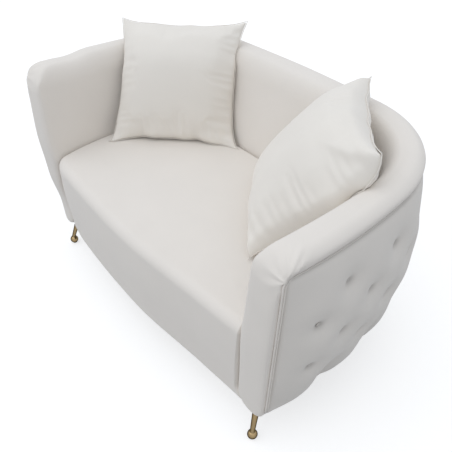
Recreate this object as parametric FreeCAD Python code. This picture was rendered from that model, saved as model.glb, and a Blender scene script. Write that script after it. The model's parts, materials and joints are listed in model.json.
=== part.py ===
import FreeCAD, Part
import math
import os

# A two-seat sofa with a curved back, built as it comes apart on a bench: timber and
# plywood frame, springs, foam, covers, tufted outer panel, brass legs and two cushions.
# Millimetres. +X is to the right seen from the front, +Y runs to the back, +Z is up from
# the floor, and the origin is on the floor below the middle of the plan.

os.makedirs("parts", exist_ok=True)

# Overall sizes
seam_half_width = 670.0
seam_depth = 736.0
seam_height = 692.0
roll_height = 49.0
base_height = 115.5
seat_height = 437.0
seat_front_bow = 27.0

# Plan of the outer seam: three arcs that meet in line
side_radius = 1582.0
corner_radius = 356.0
back_radius = 4471.0
widest_from_front = 173.0

# Outer wall below the seam
wall_lean = 0.10
panel_puff = 49.0
puff_run_in = 140.0
panel_edge_thickness = 12.0
liner_thickness = 3.0

# Inner wall: thickness of the arms and the back, and corners, at base, seat and top
arm_base_thickness = 153.0
back_base_thickness = 216.0
inner_base_corner = 215.0
arm_seat_thickness = 120.0
back_seat_thickness = 180.0
inner_seat_corner = 232.0
inner_low_side_radius = 800.0
inner_low_widest = 220.0
arm_top_thickness = 104.0
back_top_thickness = 108.0
inner_top_corner = 252.0
inner_top_side_radius = 3000.0
inner_top_widest = 180.0
inner_back_radius = 4000.0

# Soft edges
roll_outer_round = 30.0
roll_inner_round = 42.0
roll_end_share = 0.4
arm_front_round = 60.0
nose_depth = 26.0
nose_inner_round = 20.0
nose_outer_round = 16.0
nose_foot_round = 34.0
seat_front_round = 37.0
seat_crown = 12.0
crown_from_side = 111.0
crown_from_front = 66.6

# Covers, boards and clearances
cover_thickness = 2.0
soft_gap = 0.3
seat_side_gap = 1.5
joint_gap = 0.1

# Frame timber
plate_thickness = 18.0
plate_reach_in = 70.0
top_rail_width = 40.0
strut_depth = 20.0
strut_width = 45.0
strut_curve_gap = 1.2
strut_shares = (0.16, 0.52, 0.80)
front_board_thickness = 18.0
front_board_inset = 8.0
rail_thickness = 25.0
rail_height = 160.0
side_rail_inset = 37.0
front_rail_from_front = 8.0
back_rail_inset = 25.0
corner_block_size = 60.0
corner_block_height = 60.0

# Seat springs
spring_wire = 3.8
spring_count = 8
spring_from_side_rail = 88.0
spring_loop_width = 46.0
spring_loops = 18
clip_width = 16.0
clip_thickness = 1.6
deck_thickness = 2.0

# Tufts
tuft_rows = 5
tuft_bottom_gap = 112.0
tuft_top_gap = 116.0
tuft_columns = 6
tuft_front_gap = 100.0
tuft_radius = 58.0
tuft_depth = 13.0
tuft_seat_radius = 9.0
button_radius = 8.0
button_height = 5.0
button_round = 3.0

# Welts
welt_radius = 2.6
welt_spacing = 6.2

# Legs
front_foot_inset = 96.0
front_foot_from_front = -4.0
rear_foot_inset = 199.0
rear_foot_from_back = 163.0
leg_splay_out = 16.0
leg_splay_along = 33.0
leg_top_radius = 11.0
leg_bottom_radius = 7.5
leg_wall = 1.5
ball_radius = 15.5
glide_radius = 8.0
glide_height = 2.0
foot_plate_size = 40.0
foot_plate_thickness = 2.5
stud_radius = 4.0
stud_length = 28.0
plug_length = 16.0
screw_radius = 2.0
screw_head_radius = 3.8
screw_head_height = 1.6
screw_length = 14.0
screw_inset = 7.0

# Dust cover
dust_cover_thickness = 0.8
dust_cover_room = 0.5

# Throw cushions: side, thickness and how each one lies
cushion_side = 440.0
cushion_front_crown = 76.0
cushion_rear_crown = 40.0
cushion_draw_in = 13.0
cushion_cover_thickness = 1.5
cushion_edge_slope = 1.6
left_cushion_from_side = 315.0
left_cushion_from_back = 292.4
left_cushion_below_top = 93.9
left_cushion_heading = 43.6
left_cushion_recline = 34.8
left_cushion_turn = -0.4
right_cushion_from_side = 330.0
right_cushion_from_back = 312.2
right_cushion_below_top = 88.4
right_cushion_heading = -49.4
right_cushion_recline = 40.0
right_cushion_turn = 4.2


def vec(x, y, z):
    return FreeCAD.Vector(x, y, z)


def line(a, b):
    return Part.LineSegment(a, b).toShape()


def arc(a, b, c):
    return Part.Arc(a, b, c).toShape()


def export(shape, name):
    shape.exportStep("parts/" + name + ".step")


class Outline:
    """Half of a U in plan: side arc, corner arc and back arc, tangent to each other."""

    def __init__(self, half_width, back_y, side_r, corner_r, back_r, widest_y):
        ax, ay = half_width - side_r, widest_y
        bx, by = 0.0, back_y - back_r
        reach_a, reach_b = side_r - corner_r, back_r - corner_r
        gap = math.hypot(bx - ax, by - ay)
        along = (reach_a ** 2 - reach_b ** 2 + gap ** 2) / (2 * gap)
        across = math.sqrt(reach_a ** 2 - along ** 2)
        ex, ey = (bx - ax) / gap, (by - ay) / gap
        self.side = (ax, ay, side_r)
        self.corner = (ax + along * ex - across * ey, ay + along * ey + across * ex, corner_r)
        self.back = (bx, by, back_r)
        cx, cy, _ = self.corner
        self.side_end = math.atan2(cy - ay, cx - ax)
        self.corner_end = math.atan2(cy - by, cx - bx)

    def grown(self, by):
        other = Outline.__new__(Outline)
        other.side = self.side[:2] + (self.side[2] + by,)
        other.corner = self.corner[:2] + (self.corner[2] + by,)
        other.back = self.back[:2] + (self.back[2] + by,)
        other.side_end = self.side_end
        other.corner_end = self.corner_end
        return other

    def on(self, ring, angle):
        cx, cy, radius = ring
        return cx + radius * math.cos(angle), cy + radius * math.sin(angle)

    def side_angle(self, y):
        return math.asin((y - self.side[1]) / self.side[2])

    def side_x(self, y):
        return self.on(self.side, self.side_angle(y))[0]

    def arc_between(self, ring, start, end, z, mirror=1.0):
        points = []
        for angle in (start, (start + end) / 2, end):
            x, y = self.on(ring, angle)
            points.append(vec(mirror * x, y, z))
        return arc(*points)

    def run(self, z, front_angle):
        """Edges from the right front, round the back, to the left front."""
        right_side = self.arc_between(self.side, front_angle, self.side_end, z)
        right_corner = self.arc_between(self.corner, self.side_end, self.corner_end, z)
        middle = self.arc_between(self.back, self.corner_end, math.pi - self.corner_end, z)
        left_corner = self.arc_between(self.corner, self.corner_end, self.side_end, z, -1.0)
        left_side = self.arc_between(self.side, self.side_end, front_angle, z, -1.0)
        return [right_side, right_corner, middle, left_corner, left_side]

    def station(self, distance):
        """Point and outward direction at a distance from the middle of the back."""
        back_length = self.back[2] * (math.pi / 2 - self.corner_end)
        corner_length = self.corner[2] * (self.corner_end - self.side_end)
        mirror = 1.0 if distance >= 0 else -1.0
        left = abs(distance)
        if left <= back_length:
            ring, angle = self.back, math.pi / 2 - left / self.back[2]
        elif left <= back_length + corner_length:
            ring, angle = self.corner, self.corner_end - (left - back_length) / self.corner[2]
        else:
            left -= back_length + corner_length
            ring, angle = self.side, self.side_end - left / self.side[2]
        x, y = self.on(ring, angle)
        return mirror * x, y, mirror * math.cos(angle), math.sin(angle)

    def length_to(self, y):
        """Distance along the outline from the middle of the back to the side at y."""
        back_length = self.back[2] * (math.pi / 2 - self.corner_end)
        corner_length = self.corner[2] * (self.corner_end - self.side_end)
        return back_length + corner_length + self.side[2] * (self.side_end - self.side_angle(y))


# Places worked out from the sizes above
wall_height = seam_height - base_height
sofa_height = seam_height + roll_height
fullest_t = (4 * panel_puff - wall_lean * wall_height) / (8 * panel_puff)
fullest_out = 4 * panel_puff * fullest_t * (1 - fullest_t) - wall_lean * wall_height * fullest_t
overall_depth = seat_front_bow + seam_depth + fullest_out
front_y = seat_front_bow - overall_depth / 2
back_y = front_y + seam_depth
welt_y = front_y + nose_depth
plate_bottom = base_height + foot_plate_thickness
plate_top = plate_bottom + plate_thickness
rail_top = plate_top + rail_height
spring_z = rail_top + clip_thickness + joint_gap + spring_wire / 2
deck_z = spring_z + spring_wire / 2 + joint_gap + clip_thickness + soft_gap
seat_foam_bottom = deck_z + deck_thickness + soft_gap
top_rail_bottom = seam_height - plate_thickness - soft_gap
inner_base_half_width = seam_half_width - arm_base_thickness
inner_base_depth = seam_depth - back_base_thickness
inner_seat_half_width = seam_half_width - arm_seat_thickness
inner_seat_depth = seam_depth - back_seat_thickness
inner_top_half_width = seam_half_width - arm_top_thickness
inner_top_depth = seam_depth - back_top_thickness
side_rail_outer_x = inner_base_half_width - side_rail_inset
back_rail_from_front = inner_base_depth - back_rail_inset
spring_pitch = 2 * (side_rail_outer_x - spring_from_side_rail) / (spring_count - 1)
tuft_lowest_row = base_height + tuft_bottom_gap
tuft_row_step = (seam_height - tuft_top_gap - tuft_lowest_row) / (tuft_rows - 1)

outer = Outline(seam_half_width, back_y, side_radius, corner_radius, back_radius,
                front_y + widest_from_front)


def lean_at(z):
    return -wall_lean * (seam_height - z)


def puff_at(z):
    t = (seam_height - z) / wall_height
    return 4 * panel_puff * t * (1 - t)


def frame_outline(z, inside=0.0):
    """Outer face of the frame, behind the padded panel and the liner board."""
    behind = panel_edge_thickness + liner_thickness + 2 * soft_gap
    return outer.grown(lean_at(z) - behind - inside)


def mix(a, b, t):
    return a + (b - a) * t


def inner_outline(z):
    """Face of the inner wall cover at a height."""
    if z <= seat_height:
        t = max((z - base_height) / (seat_height - base_height), 0.0)
        return Outline(mix(inner_base_half_width, inner_seat_half_width, t),
                       front_y + mix(inner_base_depth, inner_seat_depth, t),
                       inner_low_side_radius,
                       mix(inner_base_corner, inner_seat_corner, t),
                       inner_back_radius, front_y + inner_low_widest)
    t = min((z - seat_height) / (seam_height - seat_height), 1.0)
    curve = mix(1 / inner_low_side_radius, 1 / inner_top_side_radius, t)
    return Outline(mix(inner_seat_half_width, inner_top_half_width, t),
                   front_y + mix(inner_seat_depth, inner_top_depth, t),
                   1 / curve,
                   mix(inner_seat_corner, inner_top_corner, t),
                   inner_back_radius, front_y + mix(inner_low_widest, inner_top_widest, t))


def round_over(z, top, radius):
    """How far an edge rounded by radius has come in at height z below top."""
    up = z - (top - radius)
    if up <= 0:
        return 0.0
    return radius - math.sqrt(max(radius ** 2 - up ** 2, 0.0))


def round_under(z, bottom, radius):
    down = (bottom + radius) - z
    if down <= 0:
        return 0.0
    return radius - math.sqrt(max(radius ** 2 - down ** 2, 0.0))


def closed(edges):
    return Part.Wire(edges)


def tub_wire(outline, z, y_front):
    """Outline closed by a straight line across the front."""
    edges = outline.run(z, outline.side_angle(y_front))
    x = outline.side_x(y_front)
    return closed([line(vec(-x, y_front, z), vec(x, y_front, z))] + edges)


def tub(outline_at, levels, y_front):
    return Part.makeLoft([tub_wire(outline_at(z), z, y_front) for z in levels], True, True)


def front_end(outer_x, inner_x, y, z, outer_r, inner_r, mirror):
    """Rounded front end of a wall seen in plan, from its outer to its inner side."""
    d = math.sqrt(0.5)
    a = vec(mirror * outer_x, y + outer_r, z)
    b = vec(mirror * (outer_x - outer_r + outer_r * d), y + outer_r - outer_r * d, z)
    c = vec(mirror * (outer_x - outer_r), y, z)
    e = vec(mirror * (inner_x + inner_r), y, z)
    f = vec(mirror * (inner_x + inner_r - inner_r * d), y + inner_r - inner_r * d, z)
    g = vec(mirror * inner_x, y + inner_r, z)
    return [arc(a, b, c), line(c, e), arc(e, f, g)]


def roll_wire(z, inset):
    """Plan section of the top roll at a height, drawn in by inset all round."""
    top = sofa_height - inset
    over = outer.grown(-inset - round_over(z, top, roll_outer_round - inset))
    under = inner_outline(z).grown(inset + round_over(z, top, roll_inner_round - inset))
    y = front_y + inset + round_over(z, top, arm_front_round - inset)
    width = over.side_x(welt_y) - under.side_x(welt_y)
    outer_r = min(nose_outer_round - inset, roll_end_share * width)
    inner_r = min(nose_inner_round - inset, roll_end_share * width)
    over_angle = over.side_angle(y + outer_r)
    under_angle = under.side_angle(y + inner_r)
    over_x = over.side_x(y + outer_r)
    under_x = under.side_x(y + inner_r)
    left_end = front_end(over_x, under_x, y, z, outer_r, inner_r, -1.0)
    right_end = front_end(over_x, under_x, y, z, outer_r, inner_r, 1.0)
    edges = over.run(z, over_angle) + left_end
    edges += under.run(z, under_angle)[::-1] + right_end[::-1]
    return closed(edges)


def roll_levels(inset):
    top = sofa_height - inset
    radius = roll_inner_round - inset
    levels = [seam_height + joint_gap, top - radius * 0.82]
    for share in (0.5, 0.26, 0.1, 0.02, 0.0):
        levels.append(top - radius * share)
    return levels


def make_roll(inset):
    return Part.makeLoft([roll_wire(z, inset) for z in roll_levels(inset)], True, True)


def nose_wire(z, inset, mirror):
    """Plan section of the padded arm front at a height."""
    top = sofa_height - inset
    y = front_y + inset + round_over(z, top, arm_front_round - inset)
    foot = round_under(z, base_height + inset, nose_foot_round)
    outer_r = nose_outer_round - inset
    inner_r = nose_inner_round - inset
    over_x = outer.grown(lean_at(z)).side_x(welt_y) - inset - foot
    under_x = inner_outline(z).side_x(welt_y) + inset + foot
    back_left = vec(mirror * under_x, welt_y, z)
    back_right = vec(mirror * over_x, welt_y, z)
    end = front_end(over_x, under_x, y, z, outer_r, inner_r, mirror)
    edges = [line(back_left, back_right), line(back_right, vec(mirror * over_x, y + outer_r, z))]
    edges += end + [line(vec(mirror * under_x, y + inner_r, z), back_left)]
    return closed(edges)


def make_nose(inset, mirror):
    foot = base_height + inset
    levels = [foot + nose_foot_round * share for share in (0.03, 0.15, 0.4, 1.0)]
    levels += [mix(levels[-1], seat_height, 0.5), seat_height]
    levels += [mix(seat_height, seam_height, 0.5), sofa_height - arm_front_round]
    levels += [seam_height - joint_gap]
    return Part.makeLoft([nose_wire(z, inset, mirror) for z in levels], True, True)


def keep_side(shape, side):
    """The right or left arm's share, or the back's share, of a U shaped solid."""
    split_y = front_y + inner_seat_depth - inner_seat_corner
    size = 4 * seam_half_width
    if side == "back":
        region = Part.makeBox(size, size, size, vec(-size / 2, split_y + joint_gap, -size / 2))
    else:
        x = 0.0 if side == "right" else -size
        region = Part.makeBox(size, size, size, vec(x, split_y - size - joint_gap, -size / 2))
    return shape.common(region)


def slab(bottom, top):
    size = 4 * seam_half_width
    return Part.makeBox(size, size, top - bottom, vec(-size / 2, -size / 2, bottom))


above_seat_frame = [seat_foam_bottom, seat_height]
above_seat_frame += [mix(seat_height, seam_height, 0.5), seam_height - joint_gap]
board_back_y = welt_y + joint_gap + front_board_thickness


def panel_wire(z):
    """Padded panel in plan: it leaves the front welt and swells out to its full puff."""
    full = outer.grown(lean_at(z) + puff_at(z))
    y_start = welt_y + joint_gap
    start = (outer.grown(lean_at(z)).side_x(y_start), y_start)
    join_angle = full.side_angle(welt_y + puff_run_in)
    join = full.on(full.side, join_angle)
    nx, ny = math.cos(join_angle), math.sin(join_angle)
    dx, dy = start[0] - join[0], start[1] - join[1]
    radius = -(dx ** 2 + dy ** 2) / (2 * (dx * nx + dy * ny))
    cx, cy = join[0] - radius * nx, join[1] - radius * ny
    mx, my = (start[0] + join[0]) / 2 - cx, (start[1] + join[1]) / 2 - cy
    share = radius / math.hypot(mx, my)
    middle = (cx + mx * share, cy + my * share)
    right = arc(vec(*start, z), vec(*middle, z), vec(*join, z))
    left = arc(vec(-join[0], join[1], z), vec(-middle[0], middle[1], z), vec(-start[0], start[1], z))
    front = line(vec(-start[0], start[1], z), vec(start[0], start[1], z))
    return closed([front, right] + full.run(z, join_angle) + [left])


def tuft_places():
    """Middle of each tuft on the panel, with the outward direction in plan."""
    middle_z = tuft_lowest_row + tuft_row_step * (tuft_rows - 1) / 2
    guide = outer.grown(lean_at(middle_z) + puff_at(middle_z))
    pitch = (guide.length_to(welt_y) - tuft_front_gap) / tuft_columns
    places = []
    for row in range(tuft_rows):
        z = tuft_lowest_row + row * tuft_row_step
        out = lean_at(z) + puff_at(z) - lean_at(middle_z) - puff_at(middle_z)
        if row % 2 == 0:
            shares = [0.5 + k for k in range(-tuft_columns, tuft_columns)]
        else:
            shares = list(range(-tuft_columns, tuft_columns + 1))
        for share in shares:
            x, y, nx, ny = guide.station(share * pitch)
            places.append((x + nx * out, y + ny * out, z, nx, ny))
    return places


def turned_out(shape, place, depth):
    """Lay a shape made along +Z on the panel, its origin depth below the surface."""
    x, y, z, nx, ny = place
    turn = FreeCAD.Rotation(vec(0, 0, 1), vec(nx, ny, 0))
    copy = shape.copy()
    copy.Placement = FreeCAD.Placement(vec(x - nx * depth, y - ny * depth, z), turn)
    return copy


def tuft_cutter():
    """Trumpet mouth: a small flat seat, then a rounded flank that meets the surface."""
    rise = tuft_depth
    run = tuft_radius - tuft_seat_radius
    flank = (run ** 2 + rise ** 2) / (2 * rise)
    turn = math.asin(run / flank) / 2
    start = vec(tuft_seat_radius, 0, 0)
    end = vec(tuft_radius, 0, rise)
    centre_x, centre_z = tuft_radius, rise - flank
    middle = vec(centre_x - flank * math.sin(turn), 0, centre_z + flank * math.cos(turn))
    top = rise + 2 * tuft_depth
    edges = [line(vec(0, 0, 0), start), arc(start, middle, end), line(end, vec(tuft_radius, 0, top)),
             line(vec(tuft_radius, 0, top), vec(0, 0, top)), line(vec(0, 0, top), vec(0, 0, 0))]
    face = Part.Face(Part.Wire(edges))
    return face.revolve(vec(0, 0, 0), vec(0, 0, 1), 360)


def make_panel():
    steps = 7
    levels = [mix(base_height, seam_height - joint_gap, k / steps) for k in range(steps + 1)]
    body = Part.makeLoft([panel_wire(z) for z in levels], True, False)
    behind = [base_height - joint_gap, seam_height]
    hollow = tub(lambda z: outer.grown(lean_at(z) - panel_edge_thickness), behind, front_y)
    panel = body.cut(hollow)
    cutter = tuft_cutter()
    return panel.cut([turned_out(cutter, place, tuft_depth) for place in tuft_places()])


def make_buttons():
    button = Part.makeCylinder(button_radius, button_height)
    rim = [edge for edge in button.Edges if edge.Vertexes[0].Point.z > button_height - joint_gap
           and edge.Curve.TypeId == "Part::GeomCircle"]
    button = button.makeFillet(button_round, rim)
    depth = tuft_depth - joint_gap
    return Part.makeCompound([turned_out(button, place, depth) for place in tuft_places()])


def make_liner():
    levels = [base_height + soft_gap, seam_height - joint_gap]
    behind = panel_edge_thickness + soft_gap
    face = tub(lambda z: outer.grown(lean_at(z) - behind), levels, welt_y + joint_gap)
    return face.cut(tub(lambda z: outer.grown(lean_at(z) - behind - liner_thickness), levels, front_y))


def make_wall_foam():
    front = board_back_y + joint_gap
    low = [seat_foam_bottom, seat_height, top_rail_bottom - joint_gap]
    high = [top_rail_bottom - joint_gap, seam_height - joint_gap]
    strut_room = strut_depth + 2 * strut_curve_gap
    foam = tub(lambda z: frame_outline(z, strut_room), low, front)
    foam = foam.fuse(tub(lambda z: frame_outline(z, top_rail_width + joint_gap), high, front))
    cut = cover_thickness + soft_gap
    return foam.cut(tub(lambda z: inner_outline(z).grown(cut), above_seat_frame, front_y))


def make_inside_cover():
    cover = tub(lambda z: inner_outline(z).grown(cover_thickness), above_seat_frame, welt_y + joint_gap)
    return cover.cut(tub(inner_outline, above_seat_frame, front_y))


def make_front_board(mirror):
    wires = []
    for z in (plate_top + joint_gap, seat_height, top_rail_bottom - joint_gap):
        inner_x = inner_outline(z).side_x(welt_y) + front_board_inset
        outer_x = frame_outline(z).side_x(welt_y)
        a, b = mirror * inner_x, mirror * outer_x
        y0, y1 = welt_y + joint_gap, board_back_y
        corners = [vec(a, y0, z), vec(b, y0, z), vec(b, y1, z), vec(a, y1, z), vec(a, y0, z)]
        wires.append(Part.makePolygon(corners))
    return Part.makeLoft(wires, True, True)


def make_struts():
    length = outer.length_to(welt_y)
    behind = panel_edge_thickness + liner_thickness + 2 * soft_gap + strut_curve_gap
    solids = []
    for share in strut_shares:
        for mirror in (1.0, -1.0):
            x, y, nx, ny = outer.station(mirror * share * length)
            wires = []
            for z in (plate_top + joint_gap, top_rail_bottom - joint_gap):
                near = lean_at(z) - behind
                corners = []
                for side, deep in ((-1, 0), (1, 0), (1, 1), (-1, 1), (-1, 0)):
                    off = near - deep * strut_depth
                    across = side * strut_width / 2
                    corners.append(vec(x + nx * off - ny * across, y + ny * off + nx * across, z))
                wires.append(Part.makePolygon(corners))
            solids.append(Part.makeLoft(wires, True, True))
    return Part.makeCompound(solids)


def foot_places():
    """Name of each leg, with its foot and its top on the floor plan."""
    front = (seam_half_width - front_foot_inset, front_y + front_foot_from_front, -1.0)
    rear = (seam_half_width - rear_foot_inset, back_y - rear_foot_from_back, 1.0)
    places = []
    for row, (x, y, along) in (("front", front), ("rear", rear)):
        for side, mirror in (("left", -1.0), ("right", 1.0)):
            top = (mirror * (x - leg_splay_out), y - along * leg_splay_along)
            places.append((side + "_" + row, (mirror * x, y), top))
    return places


def screw_places():
    reach = foot_plate_size / 2 - screw_inset
    places = []
    for _, _, (x, y) in foot_places():
        for across in (-reach, reach):
            places += [(x + across, y - reach), (x + across, y + reach)]
    return places


def fastener_holes(room):
    """Studs and screws, each grown by room, to cut from the plates."""
    low = base_height - stud_length
    tools = []
    for _, _, (x, y) in foot_places():
        tools.append(Part.makeCylinder(stud_radius + room, 2 * stud_length, vec(x, y, low)))
    for x, y in screw_places():
        tools.append(Part.makeCylinder(screw_radius + room, 2 * stud_length, vec(x, y, low)))
    return tools


def make_base_plate():
    levels = [plate_bottom, plate_top]
    front = front_y + front_rail_from_front
    plate = tub(lambda z: frame_outline(z), levels, front)
    plate = plate.cut(tub(lambda z: inner_outline(base_height).grown(-plate_reach_in), levels, front_y))
    return plate.cut(fastener_holes(joint_gap))


def make_top_rail():
    levels = [top_rail_bottom, top_rail_bottom + plate_thickness]
    rail = tub(frame_outline, levels, welt_y + joint_gap)
    return rail.cut(tub(lambda z: frame_outline(z, top_rail_width), levels, front_y))


def rail_box(x0, x1, from_front, to_front, bottom, top):
    corner = vec(x0, front_y + from_front, bottom)
    return Part.makeBox(x1 - x0, to_front - from_front, top - bottom, corner)


def make_front_rail():
    end = front_rail_from_front + rail_thickness
    return rail_box(-side_rail_outer_x, side_rail_outer_x, front_rail_from_front, end, plate_top, rail_top)


def make_back_rail():
    end = back_rail_from_front + rail_thickness
    return rail_box(-side_rail_outer_x, side_rail_outer_x, back_rail_from_front, end, plate_top, rail_top)


def make_side_rail(mirror):
    x0, x1 = sorted((mirror * side_rail_outer_x, mirror * (side_rail_outer_x - rail_thickness)))
    start = front_rail_from_front + rail_thickness + joint_gap
    return rail_box(x0, x1, start, back_rail_from_front - joint_gap, plate_top, rail_top)


def make_centre_rail():
    start = front_rail_from_front + rail_thickness + joint_gap
    half = rail_thickness / 2
    top = plate_top + rail_height / 2
    return rail_box(-half, half, start, back_rail_from_front - joint_gap, plate_top, top)


def make_corner_blocks():
    solids = []
    inner_x = side_rail_outer_x - rail_thickness - joint_gap
    front = front_y + front_rail_from_front + rail_thickness + joint_gap
    back = front_y + back_rail_from_front - joint_gap
    top = rail_top - corner_block_height / 2
    for mirror in (-1.0, 1.0):
        for y, step in ((front, 1.0), (back, -1.0)):
            a = vec(mirror * inner_x, y, top - corner_block_height)
            b = vec(mirror * (inner_x - corner_block_size), y, top - corner_block_height)
            c = vec(mirror * inner_x, y + step * corner_block_size, top - corner_block_height)
            face = Part.Face(Part.makePolygon([a, b, c, a]))
            solids.append(face.extrude(vec(0, 0, corner_block_height)))
    return Part.makeCompound(solids)


def spring_ends():
    half = rail_thickness / 2
    return front_y + front_rail_from_front + half, front_y + back_rail_from_front + half


def spring_xs():
    return [(k - (spring_count - 1) / 2) * spring_pitch for k in range(spring_count)]


def make_springs():
    """Zigzag wires from the front rail to the back rail."""
    start, end = spring_ends()
    step = (end - start) / spring_loops
    bend = step / 2
    half = spring_loop_width / 2 - bend
    d = bend * math.sqrt(0.5)
    edges = []
    side = 1.0
    for k in range(spring_loops + 1):
        y = start + k * step
        edges.append(line(vec(-side * half, y, spring_z), vec(side * half, y, spring_z)))
        if k < spring_loops:
            x = side * half
            tip = vec(x + side * bend, y + bend, spring_z)
            edges.append(arc(vec(x, y, spring_z), vec(x + side * d, y + bend - d, spring_z), tip))
            edges.append(arc(tip, vec(x + side * d, y + bend + d, spring_z), vec(x, y + step, spring_z)))
        side = -side
    circle = Part.Circle(vec(-half, start, spring_z), vec(1, 0, 0), spring_wire / 2)
    spring = Part.Wire(edges).makePipeShell([Part.Wire(circle.toShape())], True, True)
    solids = []
    for x in spring_xs():
        copy = spring.copy()
        copy.translate(vec(x, 0, 0))
        solids.append(copy)
    return Part.makeCompound(solids)


def make_clips():
    room = spring_wire + 2 * joint_gap
    height = room + 2 * clip_thickness
    hook = spring_wire / 2 + joint_gap + clip_thickness
    solids = []
    start, end = spring_ends()
    for x in spring_xs():
        for y, step in ((start, 1.0), (end, -1.0)):
            base = vec(x - clip_width / 2, 0, rail_top)
            body = Part.makeBox(clip_width, rail_thickness / 2 + hook, height, base)
            slot_corner = base + vec(0, clip_thickness, clip_thickness)
            slot = Part.makeBox(clip_width, rail_thickness, room, slot_corner)
            lip_corner = base + vec(0, 2 * hook, room + clip_thickness)
            lip = Part.makeBox(clip_width, rail_thickness, clip_thickness, lip_corner)
            clip = body.cut([slot, lip])
            clip.translate(vec(0, -hook, 0))
            if step < 0:
                clip = clip.mirror(vec(0, 0, 0), vec(0, 1, 0))
            clip.translate(vec(0, y, 0))
            solids.append(clip)
    return Part.makeCompound(solids)


def make_deck():
    outline = inner_outline(deck_z).grown(-2 * seat_side_gap)
    wire = tub_wire(outline, deck_z, front_y + front_rail_from_front)
    sheet = Part.Face(wire).extrude(vec(0, 0, deck_thickness))
    end = back_rail_from_front + rail_thickness
    return sheet.common(rail_box(-seam_half_width, seam_half_width, 0, end, 0, seam_height))


def seat_wire(z, inset, side_in, front_in):
    outline = inner_outline(z).grown(-seat_side_gap - inset - side_in)
    y = front_y + seat_side_gap + inset + front_in
    x = outline.side_x(y)
    bow = arc(vec(-x, y, z), vec(0, y - seat_front_bow - seat_side_gap, z), vec(x, y, z))
    return closed([bow] + outline.run(z, outline.side_angle(y)))


def make_seat(bottom, inset):
    """Seat block with its front edge rounded over and its top crowned."""
    top = seat_height - inset
    wires = [seat_wire(bottom, inset, 0, 0)]
    for share in (1.0, 0.66, 0.4, 0.2, 0.07, 0.0):
        z = top - seat_front_round * share
        crown = max(1 - (top - z) / seat_crown, 0.0) ** 2
        front_in = round_over(z, top, seat_front_round) + crown_from_front * crown
        wires.append(seat_wire(z, inset, crown_from_side * crown, front_in))
    return Part.makeLoft(wires, True, True)


def make_seat_cover():
    cover = make_seat(base_height, 0.0).cut(make_seat(base_height, cover_thickness))
    behind = front_rail_from_front - joint_gap
    back = rail_box(-seam_half_width, seam_half_width, behind, overall_depth, 0, seat_foam_bottom)
    return cover.cut(back)


def make_seat_foam():
    return make_seat(seat_foam_bottom, cover_thickness + soft_gap)


def make_front_padding():
    block = make_seat(base_height + soft_gap, cover_thickness + soft_gap)
    behind = front_rail_from_front - joint_gap
    top = seat_foam_bottom - joint_gap
    front = rail_box(-seam_half_width, seam_half_width, -overall_depth, behind, 0, top)
    return block.common(front)


def nose_room(mirror):
    """Where the base plate and leg run under the arm front."""
    inner_x = inner_outline(base_height).side_x(welt_y) - plate_reach_in
    x0, x1 = sorted((mirror * inner_x, mirror * 2 * seam_half_width))
    start = front_rail_from_front - joint_gap
    end = nose_depth + 2 * dust_cover_room
    return rail_box(x0, x1, start, end, 0, plate_top + joint_gap)


def make_nose_cover(mirror):
    return make_nose(0.0, mirror).cut([make_nose(cover_thickness, mirror), nose_room(mirror)])


def make_nose_pad(mirror):
    return make_nose(cover_thickness + soft_gap, mirror).cut(nose_room(mirror))


def cord_along(edges, start, direction):
    circle = Part.Circle(start, direction, welt_radius)
    return Part.Wire(edges).makePipeShell([Part.Wire(circle.toShape())], True, True)


def make_front_welt(mirror):
    """Two cords side by side down the outer edge of the arm front."""
    solids = []
    for k in (0.5, 1.5):
        y = welt_y - k * welt_spacing
        ends = []
        for z in (base_height + nose_foot_round, seam_height - joint_gap):
            x = outer.grown(lean_at(z)).side_x(welt_y) + welt_radius + soft_gap
            ends.append(vec(mirror * x, y, z))
        direction = ends[1] - ends[0]
        solids.append(cord_along([line(*ends)], ends[0], direction))
    return Part.makeCompound(solids)


def make_top_welt():
    """Two cords one above the other, round the outer edge of the roll."""
    solids = []
    for k in (0.5, 1.5):
        z = seam_height + k * welt_spacing
        path = outer.grown(welt_radius + soft_gap)
        angle = path.side_angle(welt_y)
        x, y = path.on(path.side, angle)
        direction = vec(-math.sin(angle), math.cos(angle), 0)
        solids.append(cord_along(path.run(z, angle), vec(x, y, z), direction))
    return Part.makeCompound(solids)


def make_dust_cover():
    z = plate_bottom - joint_gap - dust_cover_thickness
    wire = tub_wire(frame_outline(base_height), z, front_y + front_rail_from_front)
    sheet = Part.Face(wire).extrude(vec(0, 0, dust_cover_thickness))
    size = foot_plate_size + 2 * dust_cover_room
    tools = [nose_room(-1.0), nose_room(1.0)]
    for _, _, (x, y) in foot_places():
        corner = vec(x - size / 2, y - size / 2, z - plate_thickness)
        tools.append(Part.makeBox(size, size, 2 * plate_thickness, corner))
    return sheet.cut(tools)


def make_foot_plates():
    size = foot_plate_size
    solids = []
    for _, _, (x, y) in foot_places():
        corner = vec(x - size / 2, y - size / 2, base_height)
        solids.append(Part.makeBox(size, size, foot_plate_thickness, corner))
    return Part.makeCompound(solids).cut(fastener_holes(joint_gap))


def disc(centre, z, radius):
    return Part.Wire(Part.Circle(vec(centre[0], centre[1], z), vec(0, 0, 1), radius).toShape())


def ball(foot):
    return Part.makeSphere(ball_radius, vec(foot[0], foot[1], ball_radius))


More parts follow.
